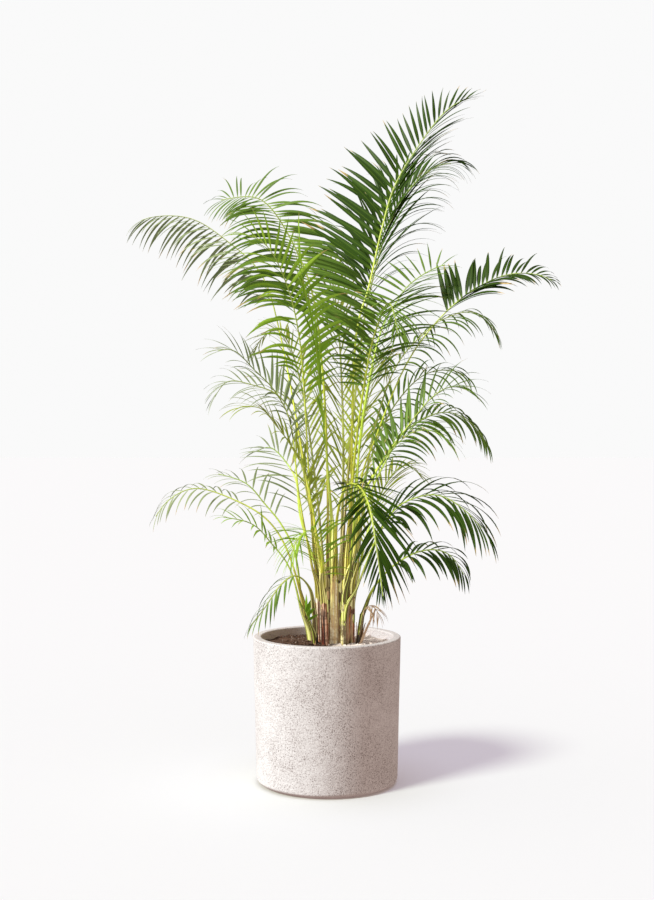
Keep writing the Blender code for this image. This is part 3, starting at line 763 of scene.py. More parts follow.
@dataclass
class Planter:
    """The turned cement pot, read from the frame's own box and finished with soft edges."""

    wall: float = 0.020
    floor: float = 0.025
    base_radius: float = 0.1770
    rim_rounding: float = 0.0035
    base_rounding: float = 0.010
    foot_height: float = 0.004
    foot_inset: float = 0.009
    axis_gap: float = 0.002
    segments: int = 160
    waviness: float = 0.0004
    outside: float = 0.0015

    def __post_init__(self) -> None:
        """Reads the rim's radius and the height from the frame."""
        low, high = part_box("planter")
        self.height = high.z
        self.rim_radius = (high.x - low.x) / 2.0

    def outer(self, height: float) -> float:
        """The outer radius at a height."""
        return self.base_radius + (self.rim_radius - self.base_radius) * height / self.height

    def inner(self, height: float) -> float:
        """The inner radius at a height."""
        return self.outer(height) - self.wall

    def profile(self) -> list[tuple[float, float]]:
        """The outline from the middle of the inner floor, over the rim, to the middle of the underside."""
        shoulder = self.height - self.rim_rounding
        base = self.foot_height + self.base_rounding
        foot = self.outer(self.foot_height) - self.base_rounding - self.foot_inset
        corner = self.inner(self.floor)
        return [
            (self.axis_gap, self.floor), (corner * 0.6, self.floor), (corner, self.floor),
            *self.side(self.inner, self.floor, shoulder, 8),
            *self.arc(self.inner(shoulder) + self.rim_rounding, shoulder, self.rim_rounding, 180, 90),
            *self.arc(self.outer(shoulder) - self.rim_rounding, shoulder, self.rim_rounding, 90, 0),
            *self.side(self.outer, shoulder, base, 40),
            *self.arc(self.outer(base) - self.base_rounding, base, self.base_rounding, 0, -90),
            (foot, self.foot_height), (foot, 0.0), (foot * 0.5, 0.0), (self.axis_gap, 0.0),
        ]

    @staticmethod
    def side(
        radius: Callable[[float], float], first: float, last: float, steps: int
    ) -> Iterator[tuple[float, float]]:
        """The profile's points between two heights, without the ends."""
        for height in (first + (last - first) * step / steps for step in range(1, steps)):
            yield radius(height), height

    @staticmethod
    def arc(
        x: float, z: float, radius: float, first: float, last: float, steps: int = 8
    ) -> Iterator[tuple[float, float]]:
        """The profile's points on an arc about (x, z), angles in degrees."""
        for angle in (math.radians(first + (last - first) * step / steps) for step in range(steps + 1)):
            yield x + radius * math.cos(angle), z + radius * math.sin(angle)

    def build(self) -> bpy.types.Object:
        """Builds the planter as one closed turned body."""
        shape = Shape("planter_cast")
        rings, painted_shade_share = [], []
        for radius, height in self.profile():
            # The painted shade's share: 1 inside the pot, on the rim top and under the base, 0 on the outer
            # wall.
            painted_shade_share.append(float(radius < self.outer(height) - self.outside))
            ring = []
            for turn in turns(self.segments):
                bump = noise.noise(Vector((math.cos(turn) * 2.2, math.sin(turn) * 2.2, height * 9.0)))
                free = 0.0 < height < self.height
                ring.append(heading(turn, radius + (bump - 0.5) * self.waviness * free, height))
            rings.append(ring)
        shape.tube(rings[::-1], Patch(0.01, 0.01, 0.99, 0.99), scar_and_shade=painted_shade_share[::-1])
        return declare(shape.make(CEMENT), "planter_cement", "planter")


@dataclass
class SoilBed:
    """The potting mix: an uneven surface with crumbs, bark chips and grit lying on it."""

    planter: Planter
    gap: float = 0.0006
    rings: int = 34
    segments: int = 120
    unevenness: float = 0.0045
    mound_x: float = 0.015
    mound_height: float = 0.004
    mound_width: float = 0.09
    settled: float = 0.003
    shoulder: float = 0.012
    crumbs: int = 900
    edge: float = 0.006
    smallest: float = 0.0012
    size_range: float = 0.0035
    crumb_levels: tuple[tuple[float, float], ...] = ((-0.8, 0.45), (-0.2, 1.0), (0.5, 0.8), (0.95, 0.3))
    seed: int = 11

    def __post_init__(self) -> None:
        """Reads the soil's height from the frame."""
        self.low, self.high = (corner.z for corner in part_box("soil"))

    def surface(self, x: float, y: float) -> float:
        """The soil's height at a place: a low rise round the canes and small lumps.

        Args:
            x: the place to the right.
            y: the place towards the back.

        Returns:
            The height.
        """
        distance = math.hypot(x - self.mound_x, y)
        mound = self.mound_height * math.exp(-((distance / self.mound_width) ** 2))
        coarse = noise.noise(Vector((x * 34.0, y * 34.0, 1.0)))
        fine = noise.noise(Vector((x * 95.0, y * 95.0, 4.0)))
        return self.high - self.settled + mound + (coarse + 0.5 * fine) * self.unevenness

    def build(self) -> bpy.types.Object:
        """Builds the soil with its crumbs."""
        shape = Shape("soil_bed")
        radius, base = (self.planter.inner(height) - self.gap for height in (self.high, self.low))
        sides = [self.level(base, self.low), self.level(radius, self.high - self.shoulder)]
        reaches = [radius * (1.0 - index / self.rings) for index in range(self.rings)]
        rings = [self.on_surface(reach) for reach in [*reaches, 0.002]]
        shape.tube(sides + rings, Patch(0.01, 0.01, 0.90, 0.99))
        self.scatter(shape, radius)
        return declare(shape.make(SOIL, sharp=45.0), "potting_mix", "soil")

    def level(self, radius: float, height: float) -> Ring:
        """A level ring."""
        return [heading(turn, radius, height) for turn in turns(self.segments)]

    def on_surface(self, radius: float) -> Ring:
        """A ring that follows the soil's surface."""
        places = [(radius * math.cos(turn), radius * math.sin(turn)) for turn in turns(self.segments)]
        return [Vector((x, y, self.surface(x, y))) for x, y in places]

    def scatter(self, shape: Shape, radius: float) -> None:
        """Lays crumbs and chips on the surface.

        Args:
            shape: the shape to add them to.
            radius: the soil's radius.
        """
        draw = random.Random(self.seed)
        for index in range(self.crumbs):
            turn, reach = draw.uniform(0.0, math.tau), (radius - self.edge) * math.sqrt(draw.random())
            x, y = reach * math.cos(turn), reach * math.sin(turn)
            size = self.smallest + self.size_range * draw.random() ** 2.5
            flat = draw.uniform(0.35, 0.9)
            axis = Vector((draw.uniform(-1, 1), draw.uniform(-1, 1), 0.3)).normalized()
            turned = Quaternion(axis, draw.uniform(-0.7, 0.7)) @ Quaternion(UP, turn)
            long = draw.uniform(1.0, 2.2)
            centre = Vector((x, y, self.surface(x, y) + size * flat * 0.3))
            rings = []
            for level, share in self.crumb_levels:
                ring = []
                for angle in (corner + level for corner in turns(6)):
                    out = size * share * draw.uniform(0.75, 1.1)
                    lengthwise, sideways = out * long * math.cos(angle), out * math.sin(angle)
                    ring.append(centre + turned @ Vector((lengthwise, sideways, size * flat * level)))
                rings.append(ring)
            low = index / self.crumbs
            shape.tube(rings, Patch(0.92, low, 0.99, low + 1.0 / self.crumbs), vary=draw.random())


# Canes


@dataclass(frozen=True)
class CaneSpec:
    """A cane's place above the soil, its radius and its colours."""

    name: str
    foot: tuple[float, float]
    top: Point
    radius: float
    tone: BarkTone
    scar_gap: float


CANE_SPECS = (
    CaneSpec("cane_thin_left", (-0.042, 0.030), (-0.054, 0.030, 0.080), 0.0060, BarkTone.OLIVE, 0.018),
    CaneSpec("cane_stub", (-0.029, -0.022), (-0.031, -0.024, 0.075), 0.0065, BarkTone.BROWN, 0.014),
    CaneSpec("cane_yellow", (-0.018, 0.016), (-0.024, 0.014, 0.235), 0.0080, BarkTone.PINK, 0.034),
    CaneSpec("cane_maroon", (-0.004, -0.036), (-0.012, -0.042, 0.190), 0.0075, BarkTone.MAROON, 0.026),
    CaneSpec("cane_brown", (0.006, 0.040), (0.004, 0.046, 0.225), 0.0070, BarkTone.BROWN, 0.030),
    CaneSpec("cane_pale", (0.019, -0.012), (0.018, -0.012, 0.240), 0.0095, BarkTone.CREAM, 0.046),
    CaneSpec("cane_dark", (0.032, 0.034), (0.036, 0.040, 0.200), 0.0070, BarkTone.BROWN, 0.028),
    CaneSpec("cane_olive", (0.042, -0.034), (0.048, -0.036, 0.215), 0.0085, BarkTone.OLIVE, 0.038),
    CaneSpec("cane_rust", (0.058, 0.002), (0.062, 0.004, 0.240), 0.0100, BarkTone.RUST, 0.040),
    CaneSpec("cane_thin_right", (0.078, -0.014), (0.088, -0.010, 0.070), 0.0060, BarkTone.BROWN, 0.016),
)


@dataclass
class Cane:
    """One woody stem with ring scars, a slight swell at each, and old dry sheaths at its foot."""

    spec: CaneSpec
    soil: float
    swell: float = 1.15
    taper: float = 0.92
    buried: float = 0.030
    sides: int = 18
    row: float = 0.0035
    first_scar: float = 0.012
    last_scar: float = 0.010
    scar_width: float = 0.0016
    lip_width: float = 0.004
    top_rounding: float = 0.006
    husk_layers: int = 2
    husk_low: float = -0.004

    def __post_init__(self) -> None:
        """Reads the stem's height."""
        self.height = self.spec.top[2]

    def axis(self, height: float) -> Vector:
        """The stem's middle at a height above the soil."""
        foot, top = Vector((*self.spec.foot, 0.0)), Vector(self.spec.top)
        return foot.lerp(top, height / self.height) + Vector((0.0, 0.0, self.soil))

    def girth(self, height: float) -> float:
        """The stem's radius at a height, without its scars."""
        share = min(1.0, max(0.0, height / self.height))
        return self.spec.radius * (self.swell + (self.taper - self.swell) * share)

    def build(self) -> bpy.types.Object:
        """Builds the cane."""
        draw = random.Random(self.spec.name)
        scars = list(self.scar_heights(draw))
        count = int((self.height + self.buried) / self.row)
        rings, marks = [], []
        for index in range(count + 1):
            height = -self.buried + (self.height + self.buried) * index / count
            near = min((abs(height - scar_and_shade) for scar_and_shade in scars), default=1.0)
            mark, lip = (math.exp(-((near / width) ** 2)) for width in (self.scar_width, self.lip_width))
            end = 1.0 - 0.5 * smooth_step(height, self.height - self.top_rounding, self.height)
            radius = self.girth(height) * (1.0 + 0.075 * lip - 0.05 * mark) * end
            centre = self.axis(height)
            plain = [centre + heading(turn, radius) for turn in turns(self.sides)]
            uneven = [1.0 + 0.05 * noise.noise(point * 90.0) for point in plain]
            rings.append([centre + (point - centre) * share for point, share in zip(plain, uneven)])
            marks.append(mark)
        shape = Shape(self.spec.name + "_stem")
        shape.tube(rings, Patch(0.01, 0.01, 0.45, 0.99), vary=draw.random(), scar_and_shade=marks)
        self.husks(shape, draw)
        cane = shape.make(self.spec.tone.value, StalkTone.STRAW.value, sharp=40.0)
        return declare(cane, "cane_bark", self.spec.name)

    def scar_heights(self, draw: random.Random) -> Iterator[float]:
        """The heights of the ring scars, closer together near the soil.

        Args:
            draw: the source of chance.

        Returns:
            The heights, from the lowest up.
        """
        height = self.first_scar
        while height < self.height - self.last_scar:
            yield height
            height += self.spec.scar_gap * draw.uniform(0.75, 1.2) * (0.7 + 0.5 * height / self.height)

    def husks(self, shape: Shape, draw: random.Random) -> None:
        """Adds old dry sheaths that still hug the stem.

        Args:
            shape: the shape to add them to.
            draw: the source of chance.
        """
        for layer in range(self.husk_layers):
            start = draw.uniform(0.0, math.tau)
            spread = math.radians(draw.uniform(34.0, 62.0))
            high = min(self.height * 0.75, draw.uniform(0.035, 0.11))

            def lie(share: float, aside: float) -> tuple[Vector, float, float]:
                """Where the husk lies: snug at its foot, narrower and flared at its top.

                Args:
                    share: the share of its length.
                    aside: the place across it, -1 to 1.

                Returns:
                    The stem's middle, the angle and the reach.
                """
                height = self.husk_low + (high - self.husk_low) * share
                half = spread * (1.0 - 0.75 * share**1.5) / 2.0
                flare = 0.0008 + 0.0006 * layer + 0.004 * share**4
                reach = self.girth(height) * 1.06 + flare + 0.0008 * abs(aside) ** 3
                return self.axis(height), start + half * aside, reach

            left = 0.5 + 0.24 * layer
            patch = Patch(left, 0.01, left + 0.22, 0.99)
            shape.tube(dry_strip(12, 3, lie), patch, slot=1, vary=draw.random())


# Fronds


@dataclass(frozen=True)
class FrondSpec:
    """A leaf: its cane, the points its spine passes, and how its leaflets stand.

    A pair of values is for the row on the spine's left and the row on its right.
    """

    name: str
    cane: str
    foot_height: float
    route: tuple[Point, ...]
    leaflet: float
    roll: float
    tone: LeafTone
    stalk: StalkTone = StalkTone.LIME
    bare: float = 0.5
    rise: float = 25.0
    droop: float = 0.5
    pitch: float = 0.019
    width: float = 0.0105
    level: tuple[float, float] = (0.55, 0.55)
    sweep: tuple[float, float] = (60.0, 60.0)
    sweep_power: float = 2.2
    arch: float = 0.15
    first: float = 0.74
    peak: float = 0.30
    fall: float = 1.6
    taper: float = 0.52
    nod: float = 0.0
    row_share: tuple[float, float] = (1.0, 1.0)
    reach: float = 0.95
    tip_reach: float = 0.080
    unruly: float = 1.0


INKY, DEEP, MATURE, PALE = LeafTone.INKY, LeafTone.DEEP, LeafTone.MATURE, LeafTone.PALE
FRESH, GOLDEN, YOUNG = LeafTone.FRESH, LeafTone.GOLDEN, LeafTone.YOUNG
GOLD, LIME, DUSKY = StalkTone.GOLD, StalkTone.LIME, StalkTone.DUSKY

FROND_SPECS = (
    FrondSpec(
        "frond_far_left_high", "cane_yellow", 0.235,
        ((-0.07, 0.03, 0.52), (-0.12, 0.08, 0.78), (-0.17, 0.12, 0.94), (-0.27, 0.16, 1.04),
         (-0.365, 0.19, 1.10), (-0.475, 0.21, 1.105), (-0.56, 0.22, 1.064)),
        0.15, 10, PALE, GOLD, bare=0.54, rise=-50, droop=0.7, width=0.008, level=(0.5, 0.5), reach=0.94,
        tip_reach=0.1, sweep=(55, 55), sweep_power=4, pitch=0.0155, fall=2.5, nod=0.8,
        row_share=(1.15, 0.85),
    ),
    FrondSpec(
        "frond_left_high", "cane_brown", 0.225,
        ((0.0, 0.05, 0.46), (-0.01, 0.06, 0.67), (-0.036, 0.08, 0.88), (-0.094, 0.10, 1.03),
         (-0.168, 0.13, 1.135), (-0.255, 0.15, 1.145), (-0.342, 0.17, 1.12)),
        0.25, -50, MATURE, GOLD, bare=0.52, rise=14, droop=0.85, sweep=(118, 62), level=(0.15, 0.3),
        arch=0.35, reach=0.94, sweep_power=10, pitch=0.0095, width=0.012, tip_reach=0.09, taper=0.74,
        fall=1.4, peak=0.1,
    ),
    FrondSpec(
        "frond_left_bright", "cane_yellow", 0.190,
        ((-0.045, -0.02, 0.42), (-0.057, -0.05, 0.643), (-0.069, -0.06, 0.767), (-0.094, -0.07, 0.877),
         (-0.143, -0.085, 0.979), (-0.223, -0.10, 1.03)),
        0.19, -65, FRESH, GOLD, bare=0.48, rise=14, width=0.0115, level=(0.1, 0.4), sweep=(60, 66),
        arch=0.3, sweep_power=5, first=0.6, pitch=0.0165,
    ),
    FrondSpec(
        "frond_spear", "cane_pale", 0.240,
        ((-0.01, -0.01, 0.57), (-0.03, -0.015, 0.77), (-0.053, -0.02, 0.875), (-0.066, -0.025, 0.97),
         (-0.07, -0.03, 1.06)),
        0.15, 170, FRESH, LIME, bare=0.3, rise=6, droop=0.4, sweep=(50, 50), first=0.5, width=0.0072,
        pitch=0.016,
    ),
    FrondSpec(
        "frond_tallest", "cane_rust", 0.240,
        ((0.063, 0.02, 0.52), (0.074, 0.03, 0.775), (0.107, 0.035, 0.903), (0.139, 0.04, 1.046),
         (0.17, 0.045, 1.151), (0.223, 0.05, 1.244), (0.308, 0.05, 1.352), (0.414, 0.05, 1.403)),
        0.215, 66, DEEP, GOLD, bare=0.53, rise=10, droop=0.2, pitch=0.0165, level=(0.78, 0.0), width=0.0145,
        sweep=(17, 62), sweep_power=4.5, arch=0.35, peak=0.05, fall=1.3, reach=0.955, taper=0.8,
        row_share=(1.25, 1.0),
    ),
    FrondSpec(
        "frond_right_high", "cane_dark", 0.200,
        ((0.067, 0.07, 0.57), (0.094, 0.09, 0.806), (0.129, 0.12, 0.966), (0.169, 0.14, 1.087),
         (0.229, 0.16, 1.184), (0.304, 0.18, 1.24), (0.414, 0.20, 1.246)),
        0.18, 50, DEEP, DUSKY, bare=0.55, rise=16, droop=0.9, level=(0.7, 0.5), sweep=(32, 36), reach=0.93,
        pitch=0.013, width=0.009, tip_reach=0.09, nod=1.2, row_share=(1.0, 1.2),
    ),
    FrondSpec(
        "frond_right_upper", "cane_rust", 0.205,
        ((0.081, -0.02, 0.50), (0.124, -0.03, 0.747), (0.167, -0.03, 0.843), (0.2075, -0.035, 0.898),
         (0.276, -0.04, 0.939), (0.344, -0.045, 0.949)),
        0.13, 60, MATURE, LIME, rise=18, droop=0.15, pitch=0.0145, sweep=(40, 92), sweep_power=12,
        taper=0.6, reach=0.94, nod=1,
    ),
    FrondSpec(
        "frond_long_right", "cane_rust", 0.170,
        ((0.083, 0.0, 0.393), (0.123, -0.01, 0.519), (0.185, -0.03, 0.674), (0.2465, -0.05, 0.773),
         (0.332, -0.06, 0.859), (0.43, -0.07, 0.912), (0.516, -0.08, 0.914), (0.58, -0.09, 0.88)),
        0.165, 40, INKY, GOLD, bare=0.685, rise=22, droop=0.45, width=0.0125, level=(0.4, 0.0), arch=0.3,
        sweep=(34, 62), sweep_power=8, peak=0.05, pitch=0.0122, reach=0.965, tip_reach=0.07, taper=0.8,
        nod=2.0, first=1.0, fall=0.9,
    ),
    FrondSpec(
        "frond_right_behind", "cane_rust", 0.130,
        ((0.10, 0.04, 0.42), (0.13, 0.06, 0.57), (0.178, 0.07, 0.70), (0.244, 0.08, 0.779),
         (0.309, 0.09, 0.826), (0.389, 0.10, 0.838), (0.461, 0.11, 0.76)),
        0.14, 15, MATURE, DUSKY, bare=0.58, rise=0, droop=1.3, width=0.008,
    ),
    FrondSpec(
        "frond_umbrella", "cane_olive", 0.215,
        ((0.072, -0.05, 0.50), (0.103, -0.10, 0.715), (0.129, -0.17, 0.806), (0.144, -0.25, 0.826),
         (0.154, -0.33, 0.778), (0.16, -0.38, 0.708)),
        0.2, 0, MATURE, GOLD, bare=0.48, rise=15, droop=0.6, width=0.0115, pitch=0.0145, first=0.6,
        row_share=(0.62, 1.0),
    ),
    FrondSpec(
        "frond_right_middle", "cane_dark", 0.165,
        ((0.088, 0.06, 0.38), (0.137, 0.05, 0.532), (0.189, 0.04, 0.621), (0.253, 0.03, 0.678),
         (0.33, 0.03, 0.683), (0.383, 0.03, 0.635)),
        0.135, 30, MATURE, DUSKY, bare=0.46, rise=8, droop=0.9, first=0.4, nod=1.5, reach=0.93, width=0.008,
    ),
    FrondSpec(
        "frond_right_arching", "cane_olive", 0.180,
        ((0.08, -0.06, 0.369), (0.129, -0.08, 0.464), (0.178, -0.09, 0.531), (0.2435, -0.11, 0.612),
         (0.298, -0.13, 0.638), (0.362, -0.15, 0.611)),
        0.145, 40, MATURE, GOLD, bare=0.4, first=0.4, width=0.008, nod=1.5, reach=0.94, pitch=0.017,
    ),
    FrondSpec(
        "frond_right_drooping", "cane_dark", 0.120,
        ((0.09, 0.08, 0.33), (0.152, 0.09, 0.468), (0.205, 0.09, 0.54), (0.296, 0.10, 0.582),
         (0.372, 0.12, 0.551), (0.438, 0.13, 0.461)),
        0.13, 30, MATURE, LIME, bare=0.44, rise=5, droop=1.0, reach=0.93, nod=1.5, pitch=0.0155,
    ),
    FrondSpec(
        "frond_right_low_front", "cane_olive", 0.145,
        ((0.07, -0.07, 0.33), (0.113, -0.11, 0.425), (0.156, -0.15, 0.49), (0.202, -0.18, 0.528),
         (0.252, -0.21, 0.528), (0.296, -0.24, 0.49)),
        0.14, 20, MATURE, LIME, bare=0.3, rise=20, droop=0.9, first=0.45, width=0.008,
    ),
    FrondSpec(
        "frond_left_middle", "cane_yellow", 0.150,
        ((-0.05, -0.03, 0.369), (-0.07, -0.04, 0.544), (-0.107, -0.06, 0.626), (-0.158, -0.07, 0.68),
         (-0.2115, -0.09, 0.728), (-0.278, -0.11, 0.714)),
        0.13, -45, PALE, GOLD, rise=20, first=0.4, width=0.0075,
    ),
    FrondSpec(
        "frond_left_behind", "cane_brown", 0.175,
        ((-0.05, 0.07, 0.366), (-0.08, 0.09, 0.545), (-0.124, 0.10, 0.623), (-0.198, 0.11, 0.654),
         (-0.263, 0.12, 0.66), (-0.311, 0.13, 0.592)),
        0.12, -35, PALE, DUSKY, rise=20, droop=0.7, first=0.4, width=0.007, pitch=0.02,
    ),
    FrondSpec(
        "frond_left_front", "cane_maroon", 0.190,
        ((-0.0815, -0.07, 0.403), (-0.118, -0.09, 0.489), (-0.156, -0.11, 0.543), (-0.197, -0.13, 0.587),
         (-0.266, -0.16, 0.586)),
        0.14, -30, GOLDEN, GOLD, bare=0.24, rise=18, droop=0.9, first=0.45, width=0.0075,
    ),
    FrondSpec(
        "frond_left_faint", "cane_brown", 0.120,
        ((-0.066, 0.09, 0.30), (-0.08, 0.12, 0.40), (-0.11, 0.16, 0.4535), (-0.154, 0.20, 0.49),
         (-0.21, 0.25, 0.47)),
        0.13, -40, PALE, bare=0.4, rise=20, first=0.4, width=0.008,
    ),
    FrondSpec(
        "frond_low_left_long", "cane_thin_left", 0.080,
        ((-0.092, 0.02, 0.226), (-0.142, 0.01, 0.306), (-0.2176, 0.0, 0.355), (-0.3175, -0.01, 0.388),
         (-0.388, -0.02, 0.36), (-0.437, -0.03, 0.293)),
        0.09, -30, PALE, GOLD, bare=0.55, rise=0, width=0.006, pitch=0.021, tip_reach=0.06, droop=1.2,
    ),
    FrondSpec(
        "frond_low_left_upper", "cane_thin_left", 0.060,
        ((-0.09, 0.06, 0.21), (-0.124, 0.07, 0.287), (-0.171, 0.08, 0.346), (-0.2236, 0.09, 0.40),
         (-0.316, 0.11, 0.428)),
        0.09, -30, PALE, bare=0.55, rise=20, droop=0.8, width=0.006, tip_reach=0.05, pitch=0.021,
    ),
    FrondSpec(
        "frond_low_left_front", "cane_thin_left", 0.040,
        ((-0.09, -0.01, 0.18), (-0.139, -0.03, 0.253), (-0.188, -0.06, 0.304), (-0.273, -0.09, 0.325)),
        0.08, -30, FRESH, bare=0.52, rise=20, droop=0.8, width=0.007, tip_reach=0.05,
    ),
    FrondSpec(
        "frond_low_left_drooping", "cane_stub", 0.075,
        ((-0.055, -0.05, 0.14), (-0.088, -0.075, 0.175), (-0.125, -0.10, 0.156), (-0.166, -0.12, 0.099),
         (-0.205, -0.14, 0.05)),
        0.085, -10, MATURE, DUSKY, bare=0.40, rise=0, droop=1.3, width=0.006, sweep=(40, 40),
    ),
    FrondSpec(
        "frond_small_centre", "cane_maroon", 0.140,
        ((-0.025, -0.075, 0.22), (-0.04, -0.10, 0.272), (-0.0586, -0.13, 0.292), (-0.087, -0.165, 0.266),
         (-0.10, -0.195, 0.22)),
        0.13, 0, FRESH, GOLD, bare=0.12, rise=10, droop=0.8, width=0.006, first=0.5, pitch=0.01, unruly=2.2,
    ),
    FrondSpec(
        "frond_front_drooping", "cane_pale", 0.200,
        ((0.025, -0.07, 0.32), (0.046, -0.12, 0.397), (0.076, -0.20, 0.40), (0.097, -0.27, 0.357),
         (0.111, -0.33, 0.269), (0.127, -0.38, 0.139)),
        0.2, 0, INKY, GOLD, bare=0.36, rise=4, droop=0.2, width=0.012, level=(0.2, 0.2), pitch=0.0155,
        first=0.6, sweep=(50, 28), reach=0.96, tip_reach=0.025, taper=0.6, row_share=(0.62, 1.0),
    ),
    FrondSpec(
        "frond_low_right_upper", "cane_olive", 0.100,
        ((0.095, -0.05, 0.219), (0.129, -0.07, 0.296), (0.175, -0.09, 0.354), (0.254, -0.11, 0.377),
         (0.32, -0.13, 0.344), (0.388, -0.15, 0.27)),
        0.17, 25, DEEP, LIME, bare=0.36, rise=0, width=0.011, pitch=0.016, reach=0.93, droop=0.9,
        sweep=(50, 50), nod=1.5, row_share=(1.0, 1.15),
    ),
    FrondSpec(
        "frond_low_right_lower", "cane_thin_right", 0.070,
        ((0.136, -0.01, 0.141), (0.1915, -0.02, 0.2015), (0.261, -0.03, 0.235), (0.3225, -0.04, 0.224),
         (0.371, -0.05, 0.153)),
        0.12, 25, DEEP, LIME, bare=0.40, rise=0, droop=1.0, pitch=0.017, reach=0.93, width=0.011, nod=1.5,
    ),
    # The back fronds take the golden tone, paler and yellower than their neighbours: partly painted light
    # shining through them.
    FrondSpec(
        "frond_back_right", "cane_dark", 0.080,
        ((0.07, 0.12, 0.36), (0.10, 0.19, 0.58), (0.13, 0.28, 0.72), (0.16, 0.39, 0.74), (0.18, 0.48, 0.66)),
        0.14, 0, GOLDEN, bare=0.25, rise=20, first=0.4, width=0.007, sweep=(34, 34), sweep_power=5,
        unruly=2.0,
    ),
    FrondSpec(
        "frond_back_left", "cane_brown", 0.085,
        ((-0.03, 0.13, 0.40), (-0.07, 0.20, 0.66), (-0.12, 0.29, 0.80), (-0.18, 0.38, 0.80),
         (-0.23, 0.45, 0.72)),
        0.13, 0, GOLDEN, DUSKY, bare=0.16, rise=20, first=0.4, width=0.007, sweep=(34, 34), sweep_power=5,
        unruly=2.0,
    ),
    FrondSpec(
        "frond_back_tall", "cane_dark", 0.145,
        ((0.03, 0.11, 0.48), (0.02, 0.16, 0.78), (0.0, 0.22, 0.95), (-0.02, 0.31, 1.02),
         (-0.03, 0.41, 0.99)),
        0.16, 0, GOLDEN, DUSKY, bare=0.16, rise=20, first=0.4, width=0.007, sweep=(34, 34), sweep_power=5,
        unruly=2.0,
    ),
    FrondSpec(
        "frond_back_low", "cane_rust", 0.090,
        ((0.10, 0.10, 0.25), (0.15, 0.18, 0.38), (0.21, 0.26, 0.44), (0.28, 0.33, 0.40)),
        0.13, 0, GOLDEN, bare=0.18, rise=20, first=0.5, width=0.007, sweep=(36, 36),
    ),
)

DRIED_SPEC = FrondSpec(
    "dried_leaf", "cane_thin_right", 0.035,
    ((0.098, -0.04, 0.085), (0.112, -0.05, 0.100), (0.128, -0.06, 0.092), (0.140, -0.067, 0.065)),
    0.055, 20, LeafTone.STRAW, StalkTone.STRAW, bare=0.42, rise=-30, droop=1.3, pitch=0.010, width=0.0045,
    unruly=2.0, tip_reach=0.04,
)

SHOOT_SPEC = FrondSpec(
    "young_shoot", "cane_stub", 0.030,
    ((-0.046, -0.040, 0.055), (-0.052, -0.046, 0.080), (-0.064, -0.050, 0.098)),
    0.060, 0, YOUNG, LIME, bare=0.35, rise=30, droop=0.2, pitch=0.012, width=0.009,
)


